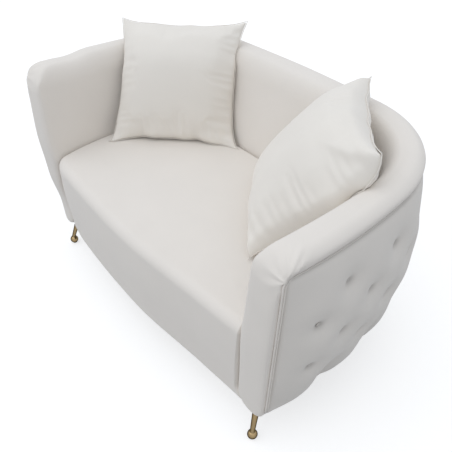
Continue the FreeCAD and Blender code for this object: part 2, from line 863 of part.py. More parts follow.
def make_leg(foot, top):
    """Tapered brass tube with a plug in its top for the stud."""
    low = ball_radius + math.sqrt(ball_radius ** 2 - leg_bottom_radius ** 2)
    outer_low = disc(foot, low, leg_bottom_radius)
    outer_high = disc(top, base_height, leg_top_radius)
    outside = Part.makeLoft([outer_low, outer_high], True, True)
    inner_low = disc(foot, low, leg_bottom_radius - leg_wall)
    inner_high = disc(top, base_height, leg_top_radius - leg_wall)
    bore = Part.makeLoft([inner_low, inner_high], True, True)
    bore = bore.common(slab(0, base_height - plug_length))
    stud_low = vec(top[0], top[1], base_height - stud_length / 2)
    stud = Part.makeCylinder(stud_radius + joint_gap, stud_length, stud_low)
    return outside.cut([bore, ball(foot), stud])


def make_ball(foot):
    return ball(foot).cut(slab(-ball_radius, glide_height))


def make_glides():
    solids = []
    for _, (x, y), _ in foot_places():
        solids.append(Part.makeCylinder(glide_radius, glide_height, vec(x, y, 0)))
    return Part.makeCompound(solids)


def make_studs():
    low = base_height - stud_length / 2
    solids = []
    for _, _, (x, y) in foot_places():
        solids.append(Part.makeCylinder(stud_radius, stud_length, vec(x, y, low)))
    return Part.makeCompound(solids)


def make_screws():
    solids = []
    for x, y in screw_places():
        head_low = vec(x, y, base_height - screw_head_height)
        head = Part.makeCylinder(screw_head_radius, screw_head_height, head_low)
        shank = Part.makeCylinder(screw_radius, screw_length, vec(x, y, base_height - joint_gap))
        solids.append(head.fuse(shank).removeSplitter())
    return Part.makeCompound(solids)


def cushion_wire(size, height):
    """Square with drawn-in sides, in the cushion's own plane."""
    h = cushion_side / 2 * size
    dip = cushion_draw_in * size
    corners = [(-h, -h), (h, -h), (h, h), (-h, h)]
    middles = [(0, -h + dip), (h - dip, 0), (0, h - dip), (-h + dip, 0)]
    edges = []
    for k in range(4):
        a, b = corners[k], corners[(k + 1) % 4]
        edges.append(arc(vec(*a, height), vec(*middles[k], height), vec(*b, height)))
    return closed(edges)


def make_cushion(inset):
    """Knife-edged cushion: a full front and a flatter back that meet at the seam."""
    shrink = 1 - 2 * inset * cushion_edge_slope / cushion_side
    profile = ((1.0, 0.0), (0.94, 0.24), (0.82, 0.5), (0.64, 0.74), (0.42, 0.91), (0.18, 0.99))
    halves = []
    for crown in (cushion_front_crown - inset, inset - cushion_rear_crown):
        wires = [cushion_wire(share * shrink, height * crown) for share, height in profile]
        halves.append(Part.makeLoft(wires, True, True))
    return halves[0].fuse(halves[1]).removeSplitter()


def place_cushion(shape, x, y, z, heading, recline, turn):
    lie = FreeCAD.Rotation(vec(0, 0, 1), heading)
    lie = lie.multiply(FreeCAD.Rotation(vec(1, 0, 0), 90 - recline))
    lie = lie.multiply(FreeCAD.Rotation(vec(0, 0, 1), turn))
    copy = shape.copy()
    copy.Placement = FreeCAD.Placement(vec(x, y, z), lie)
    return copy


left_lie = (left_cushion_from_side - seam_half_width, back_y - left_cushion_from_back,
            sofa_height - left_cushion_below_top,
            left_cushion_heading, left_cushion_recline, left_cushion_turn)
right_lie = (seam_half_width - right_cushion_from_side, back_y - right_cushion_from_back,
             sofa_height - right_cushion_below_top,
             right_cushion_heading, right_cushion_recline, right_cushion_turn)


def main():
    export(make_front_rail(), "front_rail")
    export(make_back_rail(), "back_rail")
    export(make_side_rail(-1.0), "left_side_rail")
    export(make_side_rail(1.0), "right_side_rail")
    export(make_centre_rail(), "centre_rail")
    export(make_corner_blocks(), "corner_blocks")

    base_plate = make_base_plate()
    top_rail = make_top_rail()
    foam = make_wall_foam()
    roll = make_roll(cover_thickness + soft_gap)
    for side, name in (("left", "left_arm"), ("back", "back"), ("right", "right_arm")):
        export(keep_side(base_plate, side), name + "_base_plate")
        export(keep_side(top_rail, side), name + "_top_rail")
        export(keep_side(foam, side), name + "_foam")
        export(keep_side(roll, side), name + "_roll_padding")
    export(make_struts(), "wall_struts")
    export(make_inside_cover(), "inside_cover")
    export(make_roll(0.0).cut(make_roll(cover_thickness)), "top_roll_cover")

    for side, mirror in (("left", -1.0), ("right", 1.0)):
        export(make_front_board(mirror), side + "_arm_front_board")
        export(make_nose_pad(mirror), side + "_arm_front_padding")
        export(make_nose_cover(mirror), side + "_arm_front_cover")
        export(make_front_welt(mirror), side + "_arm_welt")
    export(make_top_welt(), "top_welt")

    export(make_springs(), "seat_springs")
    export(make_clips(), "spring_clips")
    export(make_deck(), "seat_deck_cloth")
    export(make_seat_foam(), "seat_foam")
    export(make_front_padding(), "seat_front_padding")
    export(make_seat_cover(), "seat_cover")

    export(make_liner(), "outer_liner_board")
    export(make_panel(), "tufted_outer_panel")
    export(make_buttons(), "tuft_buttons")
    export(make_dust_cover(), "dust_cover")

    for name, foot, top in foot_places():
        export(make_leg(foot, top), name + "_leg")
        export(make_ball(foot), name + "_ball_foot")
    export(make_glides(), "floor_glides")
    export(make_foot_plates(), "foot_plates")
    export(make_studs(), "leg_studs")
    export(make_screws(), "plate_screws")

    fill = make_cushion(cushion_cover_thickness + soft_gap)
    cover = make_cushion(0.0).cut(make_cushion(cushion_cover_thickness))
    for side, lie in (("left", left_lie), ("right", right_lie)):
        export(place_cushion(fill, *lie), side + "_cushion_fill")
        export(place_cushion(cover, *lie), side + "_cushion_cover")


main()
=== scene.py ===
import json
import math

import bmesh
import bpy
import numpy as np
from mathutils import Euler, Matrix, Vector, noise


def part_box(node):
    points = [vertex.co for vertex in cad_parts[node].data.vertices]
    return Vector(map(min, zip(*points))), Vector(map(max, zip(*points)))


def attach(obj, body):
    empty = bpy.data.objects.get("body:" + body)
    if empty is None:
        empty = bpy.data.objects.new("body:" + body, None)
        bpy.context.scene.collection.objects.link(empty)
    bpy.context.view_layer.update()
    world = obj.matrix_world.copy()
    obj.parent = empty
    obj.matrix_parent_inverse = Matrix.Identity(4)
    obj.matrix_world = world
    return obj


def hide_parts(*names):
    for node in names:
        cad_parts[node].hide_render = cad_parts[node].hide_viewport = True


bl_info = {
    "name": "Curved loveseat",
    "version": (1, 0, 0),
    "blender": (4, 5, 0),
    "location": "View3D > Sidebar > Sofa",
    "description": "Dresses a two-seat curved sofa in cloth, brass and soft cushions",
    "category": "Object",
}

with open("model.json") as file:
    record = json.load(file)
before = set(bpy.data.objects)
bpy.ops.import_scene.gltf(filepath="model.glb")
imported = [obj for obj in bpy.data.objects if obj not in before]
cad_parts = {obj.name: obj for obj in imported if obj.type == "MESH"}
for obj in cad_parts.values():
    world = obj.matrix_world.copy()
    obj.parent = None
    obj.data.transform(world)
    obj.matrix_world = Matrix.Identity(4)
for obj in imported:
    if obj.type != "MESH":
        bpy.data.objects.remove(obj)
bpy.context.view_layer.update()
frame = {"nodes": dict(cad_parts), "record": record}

# Heights and planes that the pieces share, taken from the solids where they have them
FRONT_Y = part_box("left_arm_front_cover")[0].y
BASE_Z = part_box("seat_cover")[0].z
SEAM_Z = 0.692
TOP_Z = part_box("top_roll_cover")[1].z
SEAT_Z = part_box("seat_cover")[1].z
WELT_Y = FRONT_Y + 0.026


class Outline:
    """Half of a U in plan: side arc, corner arc and back arc that meet in line."""

    def __init__(self, half_width, back_y, side_r, corner_r, back_r, widest_y):
        ax, ay = half_width - side_r, widest_y
        bx, by = 0.0, back_y - back_r
        reach_a, reach_b = side_r - corner_r, back_r - corner_r
        gap = math.hypot(bx - ax, by - ay)
        along = (reach_a ** 2 - reach_b ** 2 + gap ** 2) / (2 * gap)
        across = math.sqrt(reach_a ** 2 - along ** 2)
        ex, ey = (bx - ax) / gap, (by - ay) / gap
        cx, cy = ax + along * ex - across * ey, ay + along * ey + across * ex
        self.side = (ax, ay, side_r)
        self.corner = (cx, cy, corner_r)
        self.back = (bx, by, back_r)
        self.side_end = math.atan2(cy - ay, cx - ax)
        self.corner_end = math.atan2(cy - by, cx - bx)

    def at(self, half, start_y, grow=0.0):
        """Point at a place along the half: 0 at start_y, 1 and 2 at the joins, 3 in the middle."""
        if half < 1:
            ring = self.side
            start = math.asin((start_y - ring[1]) / (ring[2] + grow))
            angle = start + (self.side_end - start) * half
        elif half < 2:
            ring = self.corner
            angle = self.side_end + (self.corner_end - self.side_end) * (half - 1)
        else:
            ring = self.back
            angle = self.corner_end + (math.pi / 2 - self.corner_end) * (half - 2)
        radius = ring[2] + grow
        return ring[0] + radius * math.cos(angle), ring[1] + radius * math.sin(angle)

    def side_x(self, y, grow=0.0):
        return self.at(0.0, y, grow)[0]

    def inside_by(self, x, y):
        """How far a point lies inside the outline, and the inward direction there."""
        x = abs(x)
        stretches = (
            (self.side, -math.tau, self.side_end),
            (self.corner, self.side_end, self.corner_end),
            (self.back, self.corner_end, math.tau),
        )
        for ring, low, high in stretches:
            angle = math.atan2(y - ring[1], x - ring[0])
            if low <= angle <= high:
                return ring[2] - math.hypot(x - ring[0], y - ring[1]), -math.cos(angle), -math.sin(angle)
        return 1.0, 0.0, 0.0


OUTER = Outline(0.670, FRONT_Y + 0.736, 1.582, 0.356, 4.471, FRONT_Y + 0.173)

# The outer face leans in by this share of its drop, and swells most at half its height
OUTER_LEAN, OUTER_PUFF = 0.10, 0.049

# Inner face of the wall: each has its value at the foot, at the seat's top and at the seam
INNER_HALF_WIDTH = (0.517, 0.550, 0.566)
INNER_BACK = (0.520, 0.556, 0.628)
INNER_CORNER_R = (0.215, 0.232, 0.252)
INNER_WIDEST = (0.22, 0.22, 0.18)
INNER_SIDE_CURVE = (1 / 0.8, 1 / 0.8, 1 / 3.0)
INNER_BACK_R = 4.0


def mix(a, b, t):
    return a + (b - a) * t


def step(t, low, high):
    t = min(max((t - low) / (high - low), 0.0), 1.0)
    return t * t * (3 - 2 * t)


def bell(t, middle, half):
    return math.exp(-((t - middle) / half) ** 2)


def lean(z):
    return -OUTER_LEAN * (SEAM_Z - z)


def puff(z):
    t = min(max((SEAM_Z - z) / (SEAM_Z - BASE_Z), 0.0), 1.0)
    return 4 * OUTER_PUFF * t * (1 - t)


def inner_outline(z):
    """Inner face of the wall at a height."""
    if z <= SEAT_Z:
        start = 0
        t = max((z - BASE_Z) / (SEAT_Z - BASE_Z), 0.0)
    else:
        start = 1
        t = min((z - SEAT_Z) / (SEAM_Z - SEAT_Z), 1.0)

    def here(values):
        return mix(values[start], values[start + 1], t)

    back_y = FRONT_Y + here(INNER_BACK)
    widest_y = FRONT_Y + here(INNER_WIDEST)
    side_r = 1 / here(INNER_SIDE_CURVE)
    return Outline(here(INNER_HALF_WIDTH), back_y, side_r, here(INNER_CORNER_R), INNER_BACK_R, widest_y)


INNER = {}


def inner_at(z):
    key = round(z, 5)
    if key not in INNER:
        INNER[key] = inner_outline(z)
    return INNER[key]


def bent_grid(name, across, along, place, swell=None):
    """A grid bent into place by place(column, row), then moved along its normals by swell(point)."""
    bm = bmesh.new()
    bmesh.ops.create_grid(bm, x_segments=across, y_segments=along, size=0.5)
    for vert in bm.verts:
        vert.co = place(round((vert.co.x + 0.5) * across), round((vert.co.y + 0.5) * along))
    if swell:
        bmesh.ops.remove_doubles(bm, verts=bm.verts, dist=1e-5)
        bmesh.ops.recalc_face_normals(bm, faces=bm.faces)
        bm.normal_update()
        moves = [vert.normal * swell(vert.co) for vert in bm.verts]
        for vert, move in zip(bm.verts, moves):
            vert.co += move
    return finished(bm, name)


def finished(bm, name, merge=1e-5):
    bmesh.ops.remove_doubles(bm, verts=bm.verts, dist=merge)
    bmesh.ops.dissolve_degenerate(bm, edges=bm.edges, dist=1e-6)
    bmesh.ops.recalc_face_normals(bm, faces=bm.faces)
    mesh = bpy.data.meshes.new(name)
    bm.to_mesh(mesh)
    bm.free()
    for face in mesh.polygons:
        face.use_smooth = True
    piece = bpy.data.objects.new(name, mesh)
    bpy.context.scene.collection.objects.link(piece)
    return piece


def painted_shade(piece, amount):
    """Writes painted shade at each point, 0 to 1, which its material turns darker: shade in dimples, creases
    and under the roll.
    """
    values = piece.data.attributes.new("painted_shade", "FLOAT", "POINT")
    values.data.foreach_set("value", [amount(vert.co) for vert in piece.data.vertices])
    return piece


def dressed(piece, body, material, slot, fill, *nodes):
    """Puts a piece on its body, in its cloth, in place of the soft nodes it stands for."""
    piece.data.materials.clear()
    piece.data.materials.append(material)
    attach(piece, body)
    if nodes:
        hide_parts(*nodes)
    return piece


# Wall cover: stacked loops round the whole wall

# Roundings: inner foot, outer foot, top of the arm front, and the roll's outer and inner sides
FOOT_ROUND, OUTER_FOOT, FRONT_ROUND = 0.034, 0.020, 0.080
OUTER_ROUND, INNER_DROP, INNER_ROUND = 0.030, 0.072, 0.042

# Depth of the arm front's rounded edge, and how far the wall stays behind the outer panel
NOSE_DEPTH, TUCK = 0.026, 0.014

# Depth of the groove that the welt lies in, and how far the top is crowned
WELT_GROOVE, TOP_CROWN = 0.0035, 0.0012

# Fullness of the arm front, how far it leans back at the top, and the roll's undercut and bulge
FRONT_FULL, FRONT_BACK, ROLL_UNDERCUT, ROLL_BULGE = 0.005, 0.006, 0.006, 0.005

# Rows of the grid at the foot, up the face and over the top, and those beside the seam
FOOT_ROWS, FACE_ROWS, TOP_ROWS = 6, 24, 16
SEAM_ROWS = (-0.0045, -0.0015, 0.0005, 0.004, 0.008)

# The inner foot is rounded at the arm front and fades out behind it
FOOT_FADE = (0.028, 0.075)


def round_over(z, top, radius, reach=None):
    """How far an edge has turned in at a height; reach is its width where it isn't a plain radius."""
    up = min(max(z - (top - radius), 0.0) / radius, 1.0)
    return (reach or radius) * (1 - math.sqrt(1 - up ** 2))


def foot_in(z, radius=FOOT_ROUND):
    down = min(max(BASE_Z + radius - z, 0.0), radius)
    return radius - math.sqrt(radius ** 2 - down ** 2)


def wall_levels():
    quarter = math.pi / 2
    low, high = BASE_Z + FOOT_ROUND, TOP_Z - FRONT_ROUND
    levels = [BASE_Z + FOOT_ROUND * (1 - math.cos(quarter * k / FOOT_ROWS)) for k in range(FOOT_ROWS + 1)]
    levels += [mix(low, high, k / FACE_ROWS) for k in range(1, FACE_ROWS + 1)]
    levels += [TOP_Z - FRONT_ROUND * (1 - math.sin(quarter * k / TOP_ROWS)) for k in range(1, TOP_ROWS + 1)]
    levels += [SEAM_Z + beside for beside in SEAM_ROWS]
    return sorted(levels)


def nose_round(t):
    """A squarish quarter round, from 1 at the middle to 0 at either side."""
    return max(1 - t ** 4, 0.0) ** 0.25


def wall_stations():
    """Stations from the middle of the back, round the right front, back along the inside."""
    out = [("out", 3 - k / 14) for k in range(14)] + [("out", 2 - k / 22) for k in range(22)]
    out += [("out", 1 - k / 26) for k in range(27)]
    turned = [nose_round(0.88 * k / 9) for k in range(10)]
    face = [0.7 - 0.1 * k for k in range(15)]
    nose = [("nose", w) for w in turned + face + [-w for w in reversed(turned)]]
    inner = [("in", half) for _, half in reversed(out)]
    right = [(kind, t, 1.0) for kind, t in out + [("edge", 0.0)] + nose + inner]
    left = [(kind, t, -1.0) for kind, t, _ in reversed(right[1:-1])]
    return right + left


def front_at(z):
    """Front of the arm at a height: a slightly full face that leans back into the rounded top."""
    full = FRONT_FULL * bell(z, 0.42, 0.13)
    return FRONT_Y - full + FRONT_BACK * step(z, 0.58, 0.70) + round_over(z, TOP_Z, FRONT_ROUND)


def outer_grow(z, y, tucked):
    """How far the wall's outer side lies outside the outer outline."""
    grow = lean(z) if z < SEAM_Z else 0.0
    grow -= foot_in(z, OUTER_FOOT) + round_over(z, TOP_Z, OUTER_ROUND)
    if tucked and z < SEAM_Z:
        grow -= TUCK
    if z >= SEAM_Z:
        grow -= ROLL_UNDERCUT * bell(z, SEAM_Z, 0.008) * step(y, WELT_Y, WELT_Y + 0.02)
        grow += ROLL_BULGE * bell(z, SEAM_Z + 0.026, 0.014)
    return grow


def inner_grow(z, y=FRONT_Y):
    """How far the wall's inner side lies outside the inner outline."""
    foot = foot_in(z) * (1 - step(y - FRONT_Y, *FOOT_FADE))
    return foot + round_over(z, TOP_Z, INNER_DROP, INNER_ROUND)


def below_seam(z):
    """Height that the inner face is shaped by: it stops rising at the seam, in a soft bend."""
    bend = 0.040
    if z <= SEAM_Z - bend:
        return z
    if z >= SEAM_Z + bend:
        return SEAM_Z
    return z - (z - SEAM_Z + bend) ** 2 / (4 * bend)


def nose_frame(z):
    """Middle, half width, front and depth of the rounded arm front at a height."""
    y = front_at(z)
    inner = inner_at(below_seam(z))
    room = WELT_Y - 0.001 - y
    depth = mix(room, NOSE_DEPTH, step(z, SEAM_Z, SEAM_Z + 0.022)) if room < NOSE_DEPTH else NOSE_DEPTH
    end = max(WELT_Y, y + depth)
    outer_x = OUTER.side_x(end, outer_grow(z, end, False))
    inner_x = inner.side_x(end, inner_grow(z))
    return (outer_x + inner_x) / 2, y, (outer_x - inner_x) / 2, depth


def wall_start(z):
    _, y, _, depth = nose_frame(z)
    return max(WELT_Y + 0.0008, y + depth + 0.0006)


def wall_ring_point(kind, t, z):
    inner = inner_at(below_seam(z))
    if kind in ("nose", "edge"):
        middle, y, half, depth = nose_frame(z)
        groove = WELT_GROOVE * (1 - step(z, SEAM_Z - 0.012, SEAM_Z + 0.004))
        if kind == "nose":
            return middle + half * t - groove * step(t, 0.86, 1.0), y + depth * (1 - nose_round(t))
        return middle + half - groove, max(wall_start(z) - 0.0005, y + depth)
    start = wall_start(z)
    if kind == "out":
        _, y = OUTER.at(t, start)
        return OUTER.at(t, start, outer_grow(z, y, True))
    _, y = inner.at(t, start)
    return inner.at(t, start, inner_grow(z, y if t < 1 else 1.0))


def wall_middle(kind, t, z):
    """Middle of the wall's thickness, where the top and the foot close."""
    if kind in ("nose", "edge"):
        middle, y, _, depth = nose_frame(z)
        return middle, y + depth
    a = wall_ring_point("out", t, z)
    b = wall_ring_point("in", t, z)
    return (a[0] + b[0]) / 2, (a[1] + b[1]) / 2


# How far the left arm's front stands forward: amount, height and reach of each swell
LEFT_FORWARD = ((0.014, 0.48, 0.12), (0.012, 0.31, 0.08), (0.006, 0.12, 0.08))

# How far the left arm's top dips, then rises: amount, distance from the front and reach
LEFT_DIP = ((0.0065, 0.165, 0.05), (-0.0015, 0.245, 0.04))

# How far the left arm's inner face stands out beside the seat, and how much more at its foot
LEFT_OUT, LEFT_FOOT_OUT = 0.013, 0.030


def left_arm_lean(x, y, z):
    """The left arm's front stands a little forward and its top dips."""
    if x >= 0:
        return Vector((0, 0, 0))
    front = y - FRONT_Y
    forward = sum(amount * bell(z, height, reach) for amount, height, reach in LEFT_FORWARD)
    forward *= 1 - step(front, 0.02, 0.16)
    dip = sum(amount * bell(front, place, reach) for amount, place, reach in LEFT_DIP)
    return Vector((0, -forward, -dip * step(z, 0.62, TOP_Z)))


def left_seat_out(front, z):
    """How far the left arm's inner face stands out beside the seat, towards the front."""
    long = LEFT_OUT * (1 - step(front, 0.05, 0.26)) * bell(z, 0.30, 0.10)
    low = LEFT_FOOT_OUT * (1 - step(front, 0.02, 0.12)) * (1 - step(z, 0.16, 0.40))
    return (long + low) * (1 - step(z, SEAT_Z - 0.060, SEAT_Z - 0.012))


# Unevenness of padded cloth: its height and how many waves there are to a metre
WAVE_HEIGHT, WAVES = 0.0012, 5.0

# Gathers at the welt's corner: where they start, how many there are to a turn, how high and how long
PLEAT_START = Vector((0.668, WELT_Y - 0.004, SEAM_Z + 0.004))
PLEATS, PLEAT_HEIGHT, PLEAT_REACH = 11.0, 0.0014, 0.11


def wall_wave(spot):
    """Small unevenness of a padded wall, with the gathers at each welt's corner."""
    if spot.z < SEAT_Z and 0.03 < spot.y - FRONT_Y:
        if inner_at(spot.z).inside_by(spot.x, spot.y)[0] > -0.02:
            return 0.0
    return noise.noise(spot * WAVES) * WAVE_HEIGHT + corner_pleats(abs(spot.x), spot.y, spot.z)


def corner_pleats(x, y, z):
    """Short gathers that run from the welt's corner up over the arm front."""
    off = Vector((x, y, z)) - PLEAT_START
    away = off.length
    if away > PLEAT_REACH or away < 1e-4:
        return 0.0
    turn = math.atan2(off.z, -off.x - 0.6 * off.y)
    ends = step(away, 0.0, 0.012) * (1 - step(away, 0.03, PLEAT_REACH))
    return PLEAT_HEIGHT * math.sin(PLEATS * turn + 0.8) * ends


def make_wall():
    levels = wall_levels()
    stations = wall_stations()
    rings = [(levels[0], 1.0), (levels[0], 0.5)] + [(z, 0.0) for z in levels]
    rings += [(levels[-1], 0.3), (levels[-1], 0.65), (levels[-1], 1.0)]

    def place(i, j):
        kind, t, mirror = stations[i % len(stations)]
        z, share = rings[j]
        x, y = wall_ring_point(kind, t, z)
        up = z
        if share > 0:
            mx, my = wall_middle(kind, t, z)
            x, y = mix(x, mx, share), mix(y, my, share)
            if z > SEAM_Z:
                up = z + TOP_CROWN * (1 - (1 - share) ** 2)
        if mirror < 0:
            inner_share = 1.0 if kind == "in" else (1 - t) / 2 if kind == "nose" else 0.0
            x += left_seat_out(y - FRONT_Y, z) * inner_share * (1 - share)
        return Vector((mirror * x, y, up)) + left_arm_lean(mirror * x, y, z)

    wall = bent_grid("wall_cover", len(stations), len(rings) - 1, place, wall_wave)

    # painted shade in the crease under the roll's overhang, on the wall's outer side
    def under_roll(spot):
        outside = spot.y > WELT_Y and OUTER.inside_by(spot.x, spot.y)[0] < 0.03
        return CREASE_DARK * bell(spot.z, SEAM_Z + 0.001, 0.006) if outside else 0.0

    return painted_shade(wall, under_roll)


# Tufted outer panel

# Each tuft: a wide dimple, a narrow pinch in it, and a button sunk and rounded to this radius
TUFT_DEPTH, TUFT_REACH, TUFT_PINCH, PINCH_REACH = 0.0145, 0.042, 0.0075, 0.0130
BUTTON_SINK, BUTTON_R, BUTTON_FLAT = 0.0234, 0.0070, 0.5

# Lowest row, step between rows, first column's distance from the panel's front edge, and counts
TUFT_LOW, TUFT_STEP, TUFT_FRONT_GAP = BASE_Z + 0.112, 0.0871, 0.100
TUFT_ROWS, TUFT_PITCHES = 5, 6

# The guide line's height, along which the tufts are spaced, and how much shallower they are at the roll
GUIDE_Z, TUFT_CALM = 0.425, 0.35

# Unevenness of the panel's padding: waves to a metre and their height
PANEL_WAVES, PANEL_WAVE_HEIGHT = 6.0, 0.0016

# Valleys from the lowest row to the hem, and the hem's scallops
VALLEY_DEPTH, VALLEY_REACH, SCALLOP = 0.012, 0.032, 0.006

# The panel's edges turn in: reach and depth at the hem, at the roll and at the front edge
HEM_TURN, HEM_TUCK = 0.016, 0.011
ROLL_TURN, ROLL_TUCK = 0.022, 0.009
EDGE_TURN, EDGE_TUCK = 0.007, 0.005

# How far behind the front edge the panel is at its fullest, its back face's depth and its deepest dent
FULL_AFTER, PANEL_BACK, DENT_LIMIT = 0.14, 0.0122, 0.0117

# Painted shade: its reach round a button, its amount on the button itself, and its amount in the crease under
# the roll
PAINTED_SHADE_REACH, BUTTON_DARK, CREASE_DARK = 0.0140, 0.7, 0.6


def panel_frame():
    """Lengths of half the panel's guide line: side, corner and back."""
    grow = lean(GUIDE_Z) + puff(GUIDE_Z)
    side_r = OUTER.side[2] + grow
    start = math.asin((WELT_Y - OUTER.side[1]) / side_r)
    side = side_r * (OUTER.side_end - start)
    corner = (OUTER.corner[2] + grow) * (OUTER.corner_end - OUTER.side_end)
    back = (OUTER.back[2] + grow) * (math.pi / 2 - OUTER.corner_end)
    return side, corner, back


def tuft_places(side, corner, back):
    """Tuft middles as distance from the middle of the back, and height."""
    pitch = (side + corner + back - TUFT_FRONT_GAP) / TUFT_PITCHES
    places = []
    for row in range(TUFT_ROWS):
        shares = range(-TUFT_PITCHES, TUFT_PITCHES + 1)
        if row % 2 == 0:
            shares = [k + 0.5 for k in shares[:-1]]
        places += [(share * pitch, TUFT_LOW + TUFT_STEP * row) for share in shares]
    return np.array(places), pitch


def make_panel():
    side, corner, back = panel_frame()
    tufts, pitch = tuft_places(side, corner, back)
    halves = [k / 76 for k in range(76)]
    halves += [1 + k / 100 for k in range(100)]
    halves += [2 + k / 70 for k in range(70)]
    columns = [(h, 1.0) for h in halves] + [(3.0, 1.0)] + [(h, -1.0) for h in reversed(halves)]
    up = 112
    rows = [(k / up, True) for k in range(up + 1)] + [(1 - k / 6, False) for k in range(7)] + [(0.0, True)]

    def distance(half, mirror):
        if half < 1:
            done = side * half
        elif half < 2:
            done = side + corner * (half - 1)
        else:
            done = side + corner + back * (half - 2)
        return mirror * (side + corner + back - done)

    def dent(s, z):
        """Dimples, and the valleys that run from the lowest row down to the hem."""
        along, up = tufts[:, 0] - s, z - tufts[:, 1]
        near = np.hypot(along, up)
        near = near[near < 0.12]
        depth = TUFT_DEPTH * np.exp(-(near / TUFT_REACH) ** 2)
        depth += TUFT_PINCH * np.exp(-(near / PINCH_REACH) ** 2)
        hem = 0.0
        if z < TUFT_LOW:
            low = np.abs(along[:2 * TUFT_PITCHES])
            valleys = float(np.exp(-(low / VALLEY_REACH) ** 2).sum())
            hem = VALLEY_DEPTH * valleys * step(TUFT_LOW - z, 0.0, 0.05)
        scallop = SCALLOP * math.cos(2 * math.pi * (s / pitch - 0.5)) * bell(z, 0.175, 0.06)
        return float(depth.sum()) + hem + scallop

    def place(i, j):
        half, mirror = columns[i]
        share, outside = rows[j]
        z = mix(BASE_Z, SEAM_Z - 0.0005, share)
        start = WELT_Y + 0.001
        _, y = OUTER.at(half, start)
        front = y - start if half < 1 else 1.0
        if outside:
            ramp = 1 - (1 - min(front / FULL_AFTER, 1.0)) ** 2
            low = max(HEM_TURN - (z - BASE_Z), 0.0)
            high = max(ROLL_TURN - (SEAM_Z - z), 0.0)
            edge = max(EDGE_TURN - front, 0.0)
            tuck = HEM_TUCK * (1 - math.sqrt(1 - min(low / HEM_TURN, 1.0) ** 2))
            tuck += ROLL_TUCK * (1 - math.sqrt(1 - min(high / ROLL_TURN, 1.0) ** 2))
            tuck += EDGE_TUCK * (edge / EDGE_TURN) ** 2
            s = distance(half, mirror)
            wave = noise.noise(Vector((s * PANEL_WAVES, z * PANEL_WAVES, 3.0))) * PANEL_WAVE_HEIGHT * ramp
            calm = 1 - TUFT_CALM * step(z, 0.60, SEAM_Z)
            grow = lean(z) + puff(z) * ramp + wave - dent(s, z) * calm - tuck
            grow = max(grow, lean(z) - DENT_LIMIT)
        else:
            grow = lean(z) - PANEL_BACK
        x, y = OUTER.at(half, start, grow)
        return Vector((mirror * x, y, z)) + left_arm_lean(mirror * x, y, z)

    panel = bent_grid("outer_panel", len(columns) - 1, len(rows) - 1, place)
    middles = np.array([button_place(s, z, side, corner, back)[0] for s, z in tufts])

    # painted shade round each sunk button and in the crease under the roll
    def round_tufts(spot):
        away = np.linalg.norm(middles - np.array(spot), axis=1).min()
        return max(bell(away, 0.0, PAINTED_SHADE_REACH), CREASE_DARK * bell(spot.z, SEAM_Z, 0.007))

    return painted_shade(panel, round_tufts)


def button_place(s, z, side, corner, back):
    """Middle of a button and the way that it faces."""
    left = abs(s)
    if left < back:
        half = 3 - left / back
    elif left < back + corner:
        half = 2 - (left - back) / corner
    else:
        half = 1 - (left - back - corner) / side
    mirror = 1.0 if s >= 0 else -1.0
    grow = lean(z) + puff(z)
    deep = OUTER.at(half, WELT_Y + 0.001, grow - BUTTON_SINK)
    top = OUTER.at(half, WELT_Y + 0.001, grow)
    outward = Vector((mirror * (top[0] - deep[0]), top[1] - deep[1], 0)).normalized()
    return Vector((mirror * deep[0], deep[1], z)), outward


def make_buttons():
    """Small covered buttons, sunk in their dimples."""
    side, corner, back = panel_frame()
    bm = bmesh.new()
    for s, z in tuft_places(side, corner, back)[0]:
        middle, outward = button_place(s, z, side, corner, back)
        turn = outward.to_track_quat("Z", "Y").to_matrix().to_4x4()
        lie = Matrix.Translation(middle) @ turn @ Matrix.Diagonal((1, 1, BUTTON_FLAT, 1))
        bmesh.ops.create_uvsphere(bm, u_segments=14, v_segments=8, radius=BUTTON_R, matrix=lie)
    # painted shade over each button, sunk in its dimple
    return painted_shade(finished(bm, "buttons"), lambda spot: BUTTON_DARK)


# Welts: two cords side by side, up the arm front, round its corner and along under the roll

# Cord radius, the two cords' distances from the panel's edge, and how far each stands proud
WELT_R, WELT_NEAR, WELT_FAR = 0.0027, (0.0032, -0.0004), (0.0096, -0.0006)

# Turn at the corner: its radius and how round it is; then the run under the roll, and the painted shade on it
WELT_TURN, WELT_TURN_ROUND, WELT_FOOT = 0.016, 0.8, 0.030
WELT_UNDER, WELT_IN, WELT_DARK = 0.0015, 0.0024, 0.5


def welt_line(side_by, spread):
    """Points of one cord; side_by is how far it lies from the panel's edge."""
    points = []
    for k in range(30):
        z = mix(BASE_Z + WELT_FOOT, SEAM_Z - WELT_TURN, k / 29)
        points.append((OUTER.side_x(WELT_Y, lean(z)) + spread, WELT_Y - side_by, z))
    top = SEAM_Z + side_by - WELT_UNDER
    for k in range(1, 9):
        angle = math.pi / 2 * k / 9
        y = WELT_Y - side_by + (WELT_TURN + side_by) * (1 - math.cos(angle)) * WELT_TURN_ROUND
        z = SEAM_Z - WELT_TURN + (top - SEAM_Z + WELT_TURN) * math.sin(angle)
        points.append((OUTER.side_x(WELT_Y, min(lean(z), 0.0)) + spread, y, z))
    start = WELT_Y - side_by + (WELT_TURN + side_by) * WELT_TURN_ROUND + 0.004
    for k in range(61):
        x, y = OUTER.at(k / 20, start, spread - WELT_IN)
        points.append((x, y, top))
    left = [Vector((-x, y, z)) + left_arm_lean(-x, y, z) for x, y, z in reversed(points[:-1])]
    return points + [tuple(point) for point in left]


